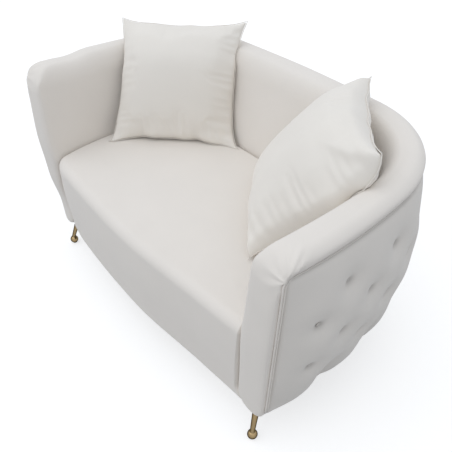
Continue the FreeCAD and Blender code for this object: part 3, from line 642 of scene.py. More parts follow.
def cord(name, points, radius, closed=False):
    curve = bpy.data.curves.new(name, "CURVE")
    curve.dimensions = "3D"
    curve.bevel_depth = radius
    curve.bevel_resolution = 2
    curve.use_fill_caps = not closed
    spline = curve.splines.new("POLY")
    spline.points.add(len(points) - 1)
    for point, place in zip(spline.points, points):
        point.co = (*place, 1.0)
    spline.use_cyclic_u = closed
    spline.use_smooth = True
    holder = bpy.data.objects.new(name + "_line", curve)
    bpy.context.scene.collection.objects.link(holder)
    mesh = bpy.data.meshes.new_from_object(holder.evaluated_get(bpy.context.evaluated_depsgraph_get()))
    bpy.data.objects.remove(holder)
    bm = bmesh.new()
    bm.from_mesh(mesh)
    bpy.data.meshes.remove(mesh)
    return bm


def joined(name, parts):
    """One object from several bmeshes."""
    whole = bmesh.new()
    for bm in parts:
        mesh = bpy.data.meshes.new("part")
        bm.to_mesh(mesh)
        bm.free()
        whole.from_mesh(mesh)
        bpy.data.meshes.remove(mesh)
    return finished(whole, name)


def make_welts():
    near = cord("near", welt_line(*WELT_NEAR), WELT_R)
    far = cord("far", welt_line(*WELT_FAR), WELT_R)
    piece = joined("welts", [near, far])
    # painted shade on the cords where they run under the roll
    return painted_shade(piece, lambda spot: WELT_DARK * step(spot.z, SEAM_Z - 0.012, SEAM_Z))


# Seat

# Gap to the wall, bow of the front, how far the left end stands proud, and how low the rim lies
SEAT_GAP, SEAT_BOW, SEAT_PROUD, SEAT_LOW = 0.0015, 0.024, 0.015, 0.001

# Roundness of the top edge at the front and at the sides, and height, reach and shape of the crown
SEAT_EDGE, SEAT_SIDE_EDGE, SEAT_DOME, DOME_REACH, DOME_SHAPE = 0.034, 0.016, 0.010, 0.27, 1.2

# Roundness of the bottom edge: height, then how far it turns in at the sides and at the front
SEAT_FOOT, SEAT_FOOT_SIDE, SEAT_FOOT_FRONT = 0.010, 0.003, 0.008

# Belly of the front face, and how far the sides follow the arm front's rounded edge at its foot
SEAT_BELLY, SEAT_FOLLOW = 0.004, 0.011
SEAT_CENTRE = (0.0, FRONT_Y + 0.27)

# Rows of the grid: across the bottom, round the foot, up the face, round the top edge, over the crown
SEAT_ROWS = (5, 5, 20, 12, 26)
FOOT_START, FACE_START, EDGE_START, CROWN_START = np.cumsum(SEAT_ROWS[:-1])
BELLY_END = CROWN_START - 2


def seat_loop(z, in_side, in_front):
    """Points round the seat at a height: right side, back, left side, then the bowed front."""
    outline = inner_at(z)
    grow = -SEAT_GAP - in_side
    y0 = FRONT_Y + SEAT_GAP + in_front
    places = [k / 22 for k in range(22)]
    places += [1 + k / 26 for k in range(26)]
    places += [2 + k / 16 for k in range(17)]
    right = [outline.at(half, y0, grow) for half in places]
    left = [(-x, y) for x, y in reversed(right[:-1])]
    half_width = right[0][0]
    front = []
    for k in range(1, 100):
        t = math.sin(math.pi / 2 * (-1 + k / 50))
        proud = SEAT_PROUD * (1 - abs(t) ** 24) * (1 if t < 0 else 1 - step(t, 0.0, 0.7))
        front.append((t * half_width, y0 - SEAT_BOW * (1 - t * t) - proud))
    return right + left + front


def seat_top(x, y):
    """Height of the seat's crowned top, near enough to lay a cushion on."""
    inside, _, _ = inner_at(SEAT_Z).inside_by(x, y)
    share = 1 - min(max(inside, 0.0) / DOME_REACH, 1.0)
    return SEAT_Z - SEAT_LOW + SEAT_DOME * (1 - share ** 2) ** DOME_SHAPE


def make_seat():
    rim = SEAT_Z - SEAT_LOW
    _, foot, face, edge, crown = SEAT_ROWS
    rows = [(BASE_Z, 0.004, SEAT_FOOT_FRONT, share) for share in (0.0, 0.3, 0.6, 0.85, 1.0)]
    for k in range(1, foot + 1):
        turn = math.pi / 2 * k / foot
        z = BASE_Z + SEAT_FOOT * (1 - math.cos(turn))
        rows.append((z, SEAT_FOOT_SIDE * math.cos(turn), SEAT_FOOT_FRONT * (1 - math.sin(turn)), 1.0))
    rows += [(mix(BASE_Z + SEAT_FOOT, rim - SEAT_EDGE, k / face), 0.0, 0.0, 1.0) for k in range(1, face + 1)]
    for k in range(1, edge + 1):
        turn = math.pi / 2 * k / edge
        z = rim - SEAT_EDGE * (1 - math.sin(turn))
        rows.append((z, SEAT_SIDE_EDGE * (1 - math.cos(turn)), SEAT_EDGE * (1 - math.cos(turn)), 1.0))
    rows += [(rim, SEAT_SIDE_EDGE, SEAT_EDGE, 1 - k / crown) for k in range(1, crown + 1)]
    loops = [seat_loop(z, in_side, in_front) for z, in_side, in_front, _ in rows]

    def place(i, j):
        z, _, _, share = rows[j]
        ring = loops[j]
        x, y = ring[i % len(ring)]
        x, y = mix(SEAT_CENTRE[0], x, share), mix(SEAT_CENTRE[1], y, share)
        if j > EDGE_START:
            z += SEAT_DOME * (1 - share ** 2) ** DOME_SHAPE
        wave = noise.noise(Vector((x * WAVES, y * WAVES, z * WAVES))) * WAVE_HEIGHT
        belly = 0.0
        if FOOT_START <= j < BELLY_END and y < FRONT_Y + 0.02:
            belly = SEAT_BELLY * bell(z, 0.30, 0.10)
        side = min(abs(x) / ring[0][0], 1.0)
        if x < 0 and j >= FACE_START:
            x -= left_seat_out(y - FRONT_Y, z) * side ** 8 * share
        if side > 0.8:
            low = foot_in(z)
            out = low * (1 - step(y - FRONT_Y, *FOOT_FADE)) * side ** 30
            out += SEAT_FOLLOW * min(low / 0.002, 1.0) * (1 - step(y - FRONT_Y, 0.012, 0.040)) * side ** 10
            x += math.copysign(out, x)
        return Vector((x, y - belly, z + (wave if j > EDGE_START else 0.0)))

    return bent_grid("seat", len(loops[0]), len(rows) - 1, place)


# Cushions

CUSHION_SIDE, CUSHION_CELLS, SEAM_CORD_R = 0.440, 64, 0.0012

# Height of the gathers and how many there are along a side, and the seam's waviness
GATHER_HEIGHT, GATHERS, SEAM_WAVE = 0.0034, 13.0, 0.010

# How far the foot's seam meanders on the seat
FOOT_RIPPLE = 0.016

# Clearances of the settled cloth from the wall and from the seat
WALL_CLEAR, SEAT_CLEAR = 0.0015, 0.0012

# Cloth simulation: a light cloth that is blown up a little while its seam is drawn in
CLOTH = {
    "quality": 6,
    "mass": 0.3,
    "tension_stiffness": 25,
    "compression_stiffness": 25,
    "shear_stiffness": 12,
    "bending_stiffness": 0.35,
    "use_pressure": True,
    "uniform_pressure_force": 4.0,
    "vertex_group_shrink": "seam",
    "shrink_min": -0.045,
    "shrink_max": 0.03,
}

# Its steps, the reach of the seam's pull, and how far it may move the seam and how much more the faces
CLOTH_STEPS, SEAM_REACH, SEAM_CAP, FACE_CAP = 20, 0.05, 0.005, 0.006


def cushion_pose(x, from_front, z, heading, recline, turn):
    lie = Matrix.Rotation(math.radians(heading), 4, "Z")
    lie = lie @ Matrix.Rotation(math.radians(90 - recline), 4, "X")
    lie = lie @ Matrix.Rotation(math.radians(turn), 4, "Z")
    return Matrix.Translation((x, FRONT_Y + from_front, z)) @ lie


class Cushion:
    """One loose cushion: how it lies, how full it is and how its sides are drawn in and gathered.

    Crown and rear are the heights of its front and back, fall and flat the shape of the swell.
    Four values go round the sides: right, top, left, bottom. The ears start at the upper right one.
    Drop is how far its foot sinks, slump how far its right side sags, pinch the fold at its ear.
    """

    def __init__(self, pose, crown, rear, fall, flat, ears, drawn, gathers, drop, slump, pinch):
        self.pose = pose
        self.crown, self.rear, self.fall, self.flat = crown, rear, fall, flat
        self.ears, self.drawn, self.gathers = ears, drawn, gathers
        self.drop, self.slump, self.pinch = drop, slump, pinch


CUSHIONS = {
    "left": Cushion(
        pose=cushion_pose(-0.3625, 0.4437, 0.6425, 43.9, 40.4, -1.3),
        crown=0.076, rear=0.040, fall=2.3, flat=0.56,
        ears=(0.070, 0.034, 0.086, 0.115),
        drawn=(0.050, 0.048, 0.045, 0.065),
        gathers=(1.2, 0.35, 0.7, 1.1),
        drop=0.038, slump=0.0, pinch=0.002,
    ),
    "right": Cushion(
        pose=cushion_pose(0.3436, 0.4213, 0.6510, -50.2, 41.6, 5.1),
        crown=0.098, rear=0.040, fall=2.3, flat=0.30,
        ears=(0.050, 0.062, 0.050, 0.060),
        drawn=(0.020, 0.062, 0.037, -0.004),
        gathers=(1.0, 0.45, 0.8, 1.2),
        drop=0.049, slump=0.036, pinch=0.008,
    ),
}


def cushion_blank(name):
    """Two square faces sewn along their edges, as a mesh and each point's place in the square."""
    bm = bmesh.new()
    bmesh.ops.create_grid(bm, x_segments=CUSHION_CELLS, y_segments=CUSHION_CELLS, size=1.0)
    back = bmesh.ops.duplicate(bm, geom=bm.verts[:] + bm.edges[:] + bm.faces[:])["geom"]
    rear = [v for v in back if isinstance(v, bmesh.types.BMVert)]
    for vert in rear:
        edge = max(abs(vert.co.x), abs(vert.co.y))
        vert.co.z = -0.5 * (1 - edge)
    bmesh.ops.remove_doubles(bm, verts=bm.verts, dist=1e-4)
    bmesh.ops.recalc_face_normals(bm, faces=bm.faces)
    mesh = bpy.data.meshes.new(name)
    bm.to_mesh(mesh)
    bm.free()
    squares = np.array([tuple(v.co) for v in mesh.vertices])
    return mesh, squares


def gather_at(which, a, b, s):
    """Short creases square to the seam, uneven in place and length."""
    right, top, left, bottom = CUSHIONS[which].gathers
    sides = ((right, 1 - a, b, 1.0), (top, 1 - b, a, 2.0), (left, 1 + a, b, 3.0), (bottom, 1 + b, a, 4.0))
    total = 0.0
    for weight, edge, along, seed in sides:
        if edge > 0.42:
            continue
        run = along * GATHERS + 1.6 * noise.noise(Vector((along * 3.0, seed, s)))
        patch = max(noise.noise(Vector((along * 2.2, seed * 7.3, s + 5.0))) + 0.35, 0.0)
        fade = bell(edge, 0.0, 0.16 + 0.14 * patch) * step(edge, 0.0, 0.03)
        total += weight * patch * math.sin(run * math.pi) * fade
    return total


def ear_fold(a, b):
    """A fold that runs in from the upper right ear, with a sharp lower side."""
    across = a - b
    ridge = bell(across, 0.0, 0.20 if across < 0 else 0.06) - 0.5 * bell(across, 0.17, 0.09)
    return ridge * step(min(a, b), 0.45, 0.80) * (1 - step(max(a, b), 0.93, 1.0))


def cushion_form(which, squares):
    """Crowned square with drawn-in sides, soft ears and gathers, before it is puffed."""
    h = CUSHION_SIDE / 2
    it = CUSHIONS[which]
    right, top, left, bottom = it.drawn
    points = np.zeros_like(squares)
    for k, (a, b, side) in enumerate(squares):
        rear = side < -1e-6
        crown = -it.rear if rear else it.crown
        full = ((1 - abs(a) ** it.fall) * (1 - abs(b) ** it.fall)) ** it.flat
        corner = (0 if a > 0 else 1) if b > 0 else (3 if a > 0 else 2)
        ears = it.ears[corner] * (abs(a) * abs(b)) ** 7
        x = a * (1 - (right if a > 0 else left) * (1 - b * b) * abs(a) ** 3 + ears)
        y = b * (1 - (top if b > 0 else bottom) * (1 - a * a) * abs(b) ** 3 + ears)
        fold = GATHER_HEIGHT * gather_at(which, a, b, 1.0 if rear else 0.0) * (-1 if rear else 1)
        if not rear:
            fold += it.pinch * ear_fold(a, b)
        wavy = SEAM_WAVE * noise.noise(Vector((a * 3.4, b * 3.4, 9.0))) * bell(max(abs(a), abs(b)), 1.0, 0.10)
        points[k] = (x * h, y * h, crown * full + fold + wavy)
    return points


def puffed(mesh, which, squares, rest):
    """Lets the cloth swell and wrinkle, then caps how far each point has moved."""
    mesh.vertices.foreach_set("co", rest.ravel())
    blank = bpy.data.objects.new(which + "_blank", mesh)
    bpy.context.scene.collection.objects.link(blank)
    seam = blank.vertex_groups.new(name="seam")
    edge = 1 - np.maximum(np.abs(squares[:, 0]), np.abs(squares[:, 1]))
    for k in range(len(squares)):
        seam.add([k], bell(edge[k], 0.0, SEAM_REACH), "REPLACE")
    puff_up = blank.modifiers.new("puff", "CLOTH")
    for setting, value in CLOTH.items():
        setattr(puff_up.settings, setting, value)
    puff_up.settings.effector_weights.gravity = 0.0
    puff_up.collision_settings.use_collision = False
    puff_up.collision_settings.use_self_collision = False
    puff_up.point_cache.frame_start = 1
    puff_up.point_cache.frame_end = CLOTH_STEPS + 4
    scene = bpy.context.scene
    for number in range(1, CLOTH_STEPS + 1):
        scene.frame_set(number)
    result = blank.evaluated_get(bpy.context.evaluated_depsgraph_get()).to_mesh()
    moved = np.zeros(len(result.vertices) * 3)
    result.vertices.foreach_get("co", moved)
    moved = moved.reshape(-1, 3)
    scene.frame_set(1)
    bpy.data.objects.remove(blank)
    shift = moved - rest
    length = np.linalg.norm(shift, axis=1, keepdims=True)
    cap = SEAM_CAP + FACE_CAP * np.clip(edge / 0.3, 0, 1)[:, None]
    return rest + shift * np.minimum(1.0, cap / np.maximum(length, 1e-9))


def settled(which, squares, points):
    """Lays the cushion in its corner: its foot sinks to the seat and it stays off the wall."""
    it = CUSHIONS[which]
    eye = Vector(bpy.context.scene.sofa_stage.eye)
    placed = []
    outward = Vector((it.pose[0][2], it.pose[1][2], 0.0)).normalized()
    for (a, b, _), local in zip(squares, points):
        p = it.pose @ Vector(local)
        away = (p - eye).normalized()
        p = p + away * (it.drop * step(-b, -0.4, 1.0) / -away.z)
        slump = it.slump * step(a, 0.25, 1.0) * (1 - b * b) ** 0.7 * (1 + 0.8 * b)
        ripple = FOOT_RIPPLE * noise.noise(Vector((a * 3.6, 4.0, it.pose[0][3])))
        ripple *= bell(b, -1.0, 0.13) * (1 - a ** 6)
        placed.append(p + Vector((1.0, -0.07, -1.0)) * slump + outward * ripple)
    for p in placed:
        z = min(max(p.z, SEAT_Z), TOP_Z)
        if p.z < TOP_Z + 0.002:
            depth, nx, ny = inner_at(below_seam(z)).inside_by(p.x, p.y)
            room = depth + round_over(z, TOP_Z, INNER_DROP, INNER_ROUND) - WALL_CLEAR
            if room < 0:
                p.x += -room * nx * (1.0 if p.x >= 0 else -1.0)
                p.y += -room * ny
        p.z = max(p.z, seat_top(p.x, p.y) + SEAT_CLEAR)
    return placed


def make_cushion(which):
    mesh, squares = cushion_blank(which + "_cushion")
    rest = cushion_form(which, squares)
    points = puffed(mesh.copy(), which, squares, rest)
    placed = settled(which, squares, points)
    bm = bmesh.new()
    bm.from_mesh(mesh)
    bm.verts.ensure_lookup_table()
    for vert, place in zip(bm.verts, placed):
        vert.co = place
    bmesh.ops.recalc_face_normals(bm, faces=bm.faces)
    piece = finished(bm, which + "_cushion")
    soft = piece.modifiers.new("soft", "SUBSURF")
    soft.levels = soft.render_levels = 1
    rim = [k for k in range(len(squares)) if max(abs(squares[k][0]), abs(squares[k][1])) > 1 - 1e-4]
    rim.sort(key=lambda k: square_turn(squares[k][0], squares[k][1]))
    line = cord(which + "_seam", [tuple(placed[k]) for k in rim], SEAM_CORD_R, True)
    return piece, joined(which + "_cushion_seam", [line])


def square_turn(a, b):
    """Place of a rim point on its way round the square."""
    if b <= -1 + 1e-4:
        return a
    if a >= 1 - 1e-4:
        return 2 + b
    if b >= 1 - 1e-4:
        return 4 - a
    return 6 - b


# Materials

# Share of its colour that cloth keeps under full painted shade
PAINTED_SHADE_SHARE = 0.62

# Cloud and nap of the pile: noise scales, and the depth of the nap's bump
CLOUD_SCALE, NAP_SCALE, NAP_DEPTH = 9.0, 900.0, 0.0004


def set_inputs(tree, node, inputs):
    """Sets a node's inputs; one that is given another node's output is linked to it."""
    for key, value in inputs.items():
        if isinstance(value, bpy.types.NodeSocket):
            tree.links.new(value, node.inputs[key])
        else:
            node.inputs[key].default_value = value


def add_node(tree, kind, inputs=None, **settings):
    node = tree.nodes.new("ShaderNode" + kind)
    for key, value in settings.items():
        setattr(node, key, value)
    set_inputs(tree, node, inputs or {})
    return node


def add_ramp(tree, share, low, high, start=0.0, end=1.0):
    """Colour that runs from low to high as the share goes from start to end."""
    ramp = add_node(tree, "ValToRGB", {"Fac": share})
    for stop, place, colour in zip(ramp.color_ramp.elements, (start, end), (low, high)):
        stop.position = place
        stop.color = (*colour, 1)
    return ramp.outputs["Color"]


def new_material(name):
    material = bpy.data.materials.new(name)
    material.use_nodes = True
    tree = material.node_tree
    return material, tree, tree.nodes["Principled BSDF"]


def pile_group():
    """Short pile: cloudy shade from how the pile lies, and a fine nap in the bump."""
    tree = bpy.data.node_groups.new("Short pile", "ShaderNodeTree")
    sockets = (
        ("Colour", "INPUT", "NodeSocketColor", (0.7, 0.7, 0.68, 1)),
        ("Shade", "INPUT", "NodeSocketFloat", 0.04),
        ("Nap", "INPUT", "NodeSocketFloat", 0.15),
        ("Colour", "OUTPUT", "NodeSocketColor", None),
        ("Normal", "OUTPUT", "NodeSocketVector", None),
    )
    for label, way, kind, value in sockets:
        socket = tree.interface.new_socket(label, in_out=way, socket_type=kind)
        if value is not None:
            socket.default_value = value
    source = tree.nodes.new("NodeGroupInput").outputs
    coords = add_node(tree, "TexCoord").outputs["Object"]
    cloud = add_node(tree, "TexNoise", {"Vector": coords, "Scale": CLOUD_SCALE, "Detail": 4.0}).outputs["Fac"]
    nap = add_node(tree, "TexNoise", {"Vector": coords, "Scale": NAP_SCALE, "Detail": 3.0}).outputs["Fac"]
    both = add_node(tree, "Math", {0: nap, 1: 0.5, 2: cloud}, operation="MULTIPLY_ADD")
    level = add_node(tree, "Math", {0: both.outputs[0], 1: 0.75}, operation="SUBTRACT")
    steps = {0: level.outputs[0], 1: source["Shade"], 2: 1.0}
    amount = add_node(tree, "Math", steps, operation="MULTIPLY_ADD")
    tinted = {0: source["Colour"], "Scale": amount.outputs[0]}
    shade = add_node(tree, "VectorMath", tinted, operation="SCALE")
    bump = add_node(tree, "Bump", {"Distance": NAP_DEPTH, "Strength": source["Nap"], "Height": nap})
    out = tree.nodes.new("NodeGroupOutput")
    set_inputs(tree, out, {"Colour": shade.outputs[0], "Normal": bump.outputs["Normal"]})
    return tree


def cloth_material(name, colour, sheen, shade, nap):
    material, tree, shader = new_material(name)
    # painted shade: the colour is darkened by the point attribute that the pieces carry in dimples, creases
    # and under the roll
    shaded_colour = [PAINTED_SHADE_SHARE * c for c in colour]
    lie = add_node(tree, "Attribute", attribute_name="painted_shade").outputs["Fac"]
    dark = add_node(tree, "Mix", {"A": (*colour, 1), "B": (*shaded_colour, 1), "Factor": lie}, data_type="RGBA")
    group = bpy.data.node_groups.get("Short pile") or pile_group()
    values = {"Colour": dark.outputs["Result"], "Shade": shade, "Nap": nap}
    pile = add_node(tree, "Group", values, node_tree=group)
    set_inputs(tree, shader, {
        "Base Color": pile.outputs["Colour"],
        "Normal": pile.outputs["Normal"],
        "Roughness": 0.9,
        "Specular IOR Level": 0.2,
        "Sheen Weight": sheen,
        "Sheen Roughness": 0.5,
    })
    return material


def speckled_material(name, colour, metallic, roughness, scale, contrast, stretch=(1, 1, 1), edge=0.0):
    """Noise drives a little colour and roughness: metal, plastic, board and timber.

    Edge is how much darker the surface gets where it turns away from the eye: a painted dark reflection at
    the rim.
    """
    material, tree, shader = new_material(name)
    coords = add_node(tree, "TexCoord").outputs["Object"]
    mapping = add_node(tree, "Mapping", {"Vector": coords, "Scale": stretch}).outputs["Vector"]
    grain = add_node(tree, "TexNoise", {"Vector": mapping, "Scale": scale, "Detail": 5.0}).outputs["Fac"]
    low = [c * (1 - contrast) for c in colour]
    high = [min(c * (1 + contrast), 1) for c in colour]
    face = add_ramp(tree, grain, low, high, 0.3, 0.7)
    # painted reflection: the base colour darkens where the surface turns from the eye, standing in for dark
    # surroundings seen in the metal
    if edge:
        turned = (*[c * (1 - edge) for c in colour], 1)
        facing = add_node(tree, "LayerWeight", {"Blend": 0.70}).outputs["Facing"]
        darker = add_node(tree, "Mix", {"A": face, "B": turned, "Factor": facing}, data_type="RGBA")
        face = darker.outputs["Result"]
        set_inputs(tree, shader, {"Specular Tint": turned})
    rough = {"Value": grain, "To Min": roughness * 0.8, "To Max": min(roughness * 1.25, 1.0)}
    spread = add_node(tree, "MapRange", rough).outputs["Result"]
    set_inputs(tree, shader, {"Base Color": face, "Roughness": spread, "Metallic": metallic})
    return material


def cloth(key):
    s = bpy.context.scene.sofa_looks
    name = {"cover": "Cover cloth", "outer": "Outer cloth", "cushion": "Cushion cloth"}[key]
    found = bpy.data.materials.get(name)
    if found:
        return found
    colour = {"cover": s.cover_colour, "outer": s.outer_colour, "cushion": s.cushion_colour}[key]
    return cloth_material(name, colour, s.sheen, s.shade, s.nap)


class SofaLooks(bpy.types.PropertyGroup):
    cover_colour: bpy.props.FloatVectorProperty(
        name="Cover colour", description="Cloth of the seat, wall and arms",
        subtype="COLOR", size=3, min=0, max=1, default=(0.790, 0.736, 0.672))
    # The outer cloth is set darker than the cover cloth: painted shade for the panel's side, turned from the
    # light.
    outer_colour: bpy.props.FloatVectorProperty(
        name="Outer colour", description="Cloth of the tufted outer panel",
        subtype="COLOR", size=3, min=0, max=1, default=(0.738, 0.691, 0.633))
    # The cushion cloth is set lighter than the cover cloth: painted light for the cushion faces, turned
    # towards it.
    cushion_colour: bpy.props.FloatVectorProperty(
        name="Cushion colour", description="Cloth of the loose cushions",
        subtype="COLOR", size=3, min=0, max=1, default=(0.818, 0.768, 0.697))
    brass_colour: bpy.props.FloatVectorProperty(
        name="Brass colour", description="Metal of the legs and ball feet",
        subtype="COLOR", size=3, min=0, max=1, default=(0.46, 0.34, 0.185))
    sheen: bpy.props.FloatProperty(
        name="Sheen", description="Soft glow of the pile at a glancing angle",
        subtype="FACTOR", min=0, max=1, default=0.25)
    shade: bpy.props.FloatProperty(
        name="Shade", description="How much the lie of the pile changes the colour",
        subtype="FACTOR", min=0, max=1, default=0.05)
    nap: bpy.props.FloatProperty(
        name="Nap", description="Strength of the fine nap",
        subtype="FACTOR", min=0, max=1, default=0.2)


class SofaStage(bpy.types.PropertyGroup):
    eye: bpy.props.FloatVectorProperty(
        name="Eye", description="Where the camera stands",
        subtype="TRANSLATION", unit="LENGTH", size=3, default=(1.2514, -0.9201, 1.5250))
    yaw: bpy.props.FloatProperty(
        name="Yaw", description="Camera turn to the left of straight back",
        subtype="ANGLE", default=math.radians(52.063))
    pitch: bpy.props.FloatProperty(
        name="Pitch", description="Camera tilt below the horizon",
        subtype="ANGLE", default=math.radians(39.972))
    roll: bpy.props.FloatProperty(
        name="Roll", description="Camera roll",
        subtype="ANGLE", default=math.radians(-1.847))
    lens: bpy.props.FloatProperty(
        name="Lens", description="Focal length on a 36 mm sensor",
        subtype="DISTANCE_CAMERA", default=44.68)
    shift_x: bpy.props.FloatProperty(name="Shift X", description="Lens shift across", default=-0.0310)
    shift_y: bpy.props.FloatProperty(name="Shift Y", description="Lens shift up", default=0.0083)
    sky: bpy.props.FloatProperty(
        name="Sky", description="Strength of the soft light from all round", min=0, default=0.80)
    sun: bpy.props.FloatProperty(
        name="Sun", description="Strength of the soft light from above", min=0, default=0.72)


class OBJECT_OT_sofa_wall(bpy.types.Operator):
    """Makes the wall cover: inner face, top roll and both arm fronts"""
    bl_idname = "object.sofa_wall"
    bl_label = "Wall cover"

    def execute(self, context):
        dressed(make_wall(), "sofa", cloth("cover"), "cover_fabric", 0.9,
                "inside_cover", "top_roll_cover",
                "left_arm_front_cover", "right_arm_front_cover",
                "left_arm_front_padding", "right_arm_front_padding",
                "left_arm_roll_padding", "back_roll_padding", "right_arm_roll_padding",
                "left_arm_foam", "back_foam", "right_arm_foam")
        return {"FINISHED"}


class OBJECT_OT_sofa_panel(bpy.types.Operator):
    """Makes the tufted outer panel"""
    bl_idname = "object.sofa_panel"
    bl_label = "Tufted panel"

    def execute(self, context):
        dressed(make_panel(), "sofa", cloth("outer"), "outer_fabric", 0.8, "tufted_outer_panel")
        dressed(make_buttons(), "sofa", cloth("outer"), "outer_fabric", None, "tuft_buttons")
        return {"FINISHED"}


class OBJECT_OT_sofa_welts(bpy.types.Operator):
    """Makes the double welt up each arm front and under the roll"""
    bl_idname = "object.sofa_welts"
    bl_label = "Welts"

    def execute(self, context):
        dressed(make_welts(), "sofa", cloth("cover"), "cover_fabric", None,
                "left_arm_welt", "top_welt", "right_arm_welt")
        return {"FINISHED"}


class OBJECT_OT_sofa_seat(bpy.types.Operator):
    """Makes the bowed seat with its rounded front edge"""
    bl_idname = "object.sofa_seat"
    bl_label = "Seat"

    def execute(self, context):
        dressed(make_seat(), "sofa", cloth("cover"), "cover_fabric", 0.9,
                "seat_cover", "seat_foam", "seat_front_padding")
        return {"FINISHED"}


class OBJECT_OT_sofa_cushions(bpy.types.Operator):
    """Makes the two loose cushions"""
    bl_idname = "object.sofa_cushions"
    bl_label = "Cushions"

    def execute(self, context):
        for side in CUSHIONS:
            piece, seam = make_cushion(side)
            dressed(piece, side + "_cushion", cloth("cushion"), "cushion_fabric", 0.8,
                    side + "_cushion_cover", side + "_cushion_fill")
            dressed(seam, side + "_cushion", cloth("cushion"), "cushion_fabric", None)
        return {"FINISHED"}


class OBJECT_OT_sofa_frame_looks(bpy.types.Operator):
    """Gives the frame, springs, legs and trim their materials"""
    bl_idname = "object.sofa_frame_looks"
    bl_label = "Frame and leg looks"

    def execute(self, context):
        colour = context.scene.sofa_looks.brass_colour
        brass = speckled_material("Leg brass", colour, 1.0, 0.22, 60.0, 0.08, edge=0.92)
        steel = speckled_material("Spring steel", (0.40, 0.40, 0.42), 1.0, 0.4, 80.0, 0.08)
        timber = speckled_material("Timber", (0.50, 0.34, 0.19), 0.0, 0.7, 14.0, 0.22, (1, 8, 8))
        board = speckled_material("Board", (0.33, 0.24, 0.15), 0.0, 0.85, 60.0, 0.15)
        plastic = speckled_material("Glide plastic", (0.02, 0.02, 0.02), 0.0, 0.5, 120.0, 0.1)
        dust = cloth_material("Dust cloth", (0.02, 0.02, 0.022), 0.0, 0.3, 0.5)
        deck = cloth_material("Deck cloth", (0.08, 0.08, 0.09), 0.0, 0.2, 0.5)
        by_slot = {
            "leg_brass": brass,
            "spring_steel": steel,
            "fixing_steel": steel,
            "timber": timber,
            "plywood": timber,
            "liner_board": board,
            "glide_plastic": plastic,
            "dust_cloth": dust,
            "deck_cloth": deck,
            "cover_fabric": cloth("cover"),
            "outer_fabric": cloth("outer"),
            "cushion_fabric": cloth("cushion"),
        }
        for part in frame["record"]["subparts"]:
            node = frame["nodes"][part["node"]]
            if part["material_slot"] in by_slot:
                node.data.materials.clear()
                node.data.materials.append(by_slot[part["material_slot"]])
        return {"FINISHED"}


# Studio: tints of the sky and the sun, the sun's size and way, and the floor's greys and its glow
SKY_TINT, SUN_TINT = (0.928, 0.980, 1.058), (0.977, 1.0, 1.027)
SUN_SIZE, SUN_WAY = math.radians(70), (math.radians(22), math.radians(-16), 0)
FLOOR_DARK, FLOOR_LIGHT, FLOOR_GLOW = (0.44, 0.438, 0.435), (0.46, 0.458, 0.455), 0.64


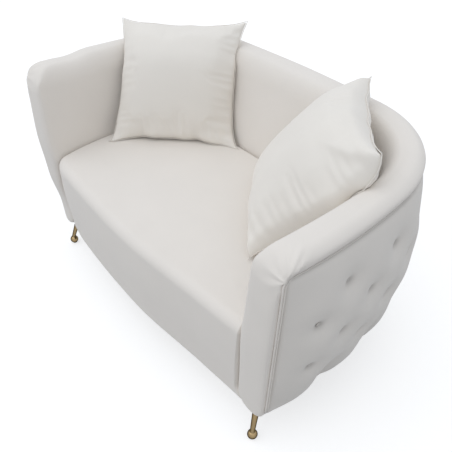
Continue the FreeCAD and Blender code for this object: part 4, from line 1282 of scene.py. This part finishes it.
class OBJECT_OT_sofa_stage(bpy.types.Operator):
    """Sets up the camera, the floor and the soft light"""
    bl_idname = "object.sofa_stage"
    bl_label = "Stage"

    def execute(self, context):
        s = context.scene.sofa_stage
        camera = bpy.data.objects.new("camera", bpy.data.cameras.new("camera"))
        context.scene.collection.objects.link(camera)
        turn = Matrix.Rotation(s.yaw, 4, "Z")
        turn = turn @ Matrix.Rotation(math.pi / 2 - s.pitch, 4, "X")
        turn = turn @ Matrix.Rotation(s.roll, 4, "Z")
        camera.matrix_world = Matrix.Translation(s.eye) @ turn
        camera.data.sensor_width = 36.0
        camera.data.lens = s.lens
        camera.data.shift_x = s.shift_x
        camera.data.shift_y = s.shift_y
        camera.data.clip_start = 0.05
        context.scene.camera = camera

        bm = bmesh.new()
        bmesh.ops.create_grid(bm, x_segments=1, y_segments=1, size=30.0)
        floor = finished(bm, "floor")
        floor.data.materials.append(self.floor_material())

        sun = bpy.data.objects.new("sun", bpy.data.lights.new("sun", "SUN"))
        sun.data.energy = s.sun
        sun.data.color = SUN_TINT
        sun.data.angle = SUN_SIZE
        sun.rotation_euler = Euler(SUN_WAY)
        context.scene.collection.objects.link(sun)
        self.make_world(context, s.sky)
        context.scene.view_settings.view_transform = "Standard"
        return {"FINISHED"}

    def seen(self, tree):
        """1 for what the camera, a mirror or glass sees of the studio, 0 for what lights the sofa."""
        path = add_node(tree, "LightPath").outputs
        total = path["Is Camera Ray"]
        for label in ("Is Glossy Ray", "Is Transmission Ray"):
            both = {0: total, 1: path[label]}
            total = add_node(tree, "Math", both, operation="ADD", use_clamp=True).outputs[0]
        return total

    def floor_material(self):
        material, tree, shader = new_material("Studio floor")
        grain = add_node(tree, "TexNoise", {"Scale": 3.0}).outputs["Fac"]
        glow = add_node(tree, "Math", {0: self.seen(tree), 1: FLOOR_GLOW}, operation="MULTIPLY")
        set_inputs(tree, shader, {
            "Base Color": add_ramp(tree, grain, FLOOR_DARK, FLOOR_LIGHT),
            "Roughness": 1.0,
            "Specular IOR Level": 0.0,
            "Emission Color": (1, 1, 1, 1),
            "Emission Strength": glow.outputs[0],
        })
        return material

    def make_world(self, context, strength):
        world = bpy.data.worlds.new("studio")
        context.scene.world = world
        world.use_nodes = True
        tree = world.node_tree
        seen = self.seen(tree)
        level = add_node(tree, "MapRange", {"Value": seen, "To Min": strength, "To Max": 1.0})
        tint = {"A": (*SKY_TINT, 1), "B": (1, 1, 1, 1), "Factor": seen}
        sky = add_node(tree, "Mix", tint, data_type="RGBA")
        back = {"Color": sky.outputs["Result"], "Strength": level.outputs["Result"]}
        set_inputs(tree, tree.nodes["Background"], back)


class VIEW3D_PT_sofa(bpy.types.Panel):
    """Lists the sofa's pieces and looks"""
    bl_label = "Curved loveseat"
    bl_idname = "VIEW3D_PT_sofa"
    bl_space_type = "VIEW_3D"
    bl_region_type = "UI"
    bl_category = "Sofa"

    def draw(self, context):
        for operator in OPERATORS:
            self.layout.operator(operator.bl_idname)
        for group in (context.scene.sofa_looks, context.scene.sofa_stage):
            for name in group.__annotations__:
                self.layout.prop(group, name)


OPERATORS = (OBJECT_OT_sofa_wall, OBJECT_OT_sofa_panel, OBJECT_OT_sofa_welts, OBJECT_OT_sofa_seat,
             OBJECT_OT_sofa_cushions, OBJECT_OT_sofa_frame_looks, OBJECT_OT_sofa_stage)
CLASSES = (SofaLooks, SofaStage) + OPERATORS + (VIEW3D_PT_sofa,)


def register():
    for cls in CLASSES:
        bpy.utils.register_class(cls)
    bpy.types.Scene.sofa_looks = bpy.props.PointerProperty(type=SofaLooks)
    bpy.types.Scene.sofa_stage = bpy.props.PointerProperty(type=SofaStage)


def unregister():
    del bpy.types.Scene.sofa_stage
    del bpy.types.Scene.sofa_looks
    for cls in reversed(CLASSES):
        bpy.utils.unregister_class(cls)


def main():
    register()
    bpy.ops.object.sofa_wall()
    bpy.ops.object.sofa_panel()
    bpy.ops.object.sofa_welts()
    bpy.ops.object.sofa_seat()
    bpy.ops.object.sofa_cushions()
    bpy.ops.object.sofa_frame_looks()
    bpy.ops.object.sofa_stage()
    bpy.context.view_layer.update()


if __name__ == "__main__":
    main()
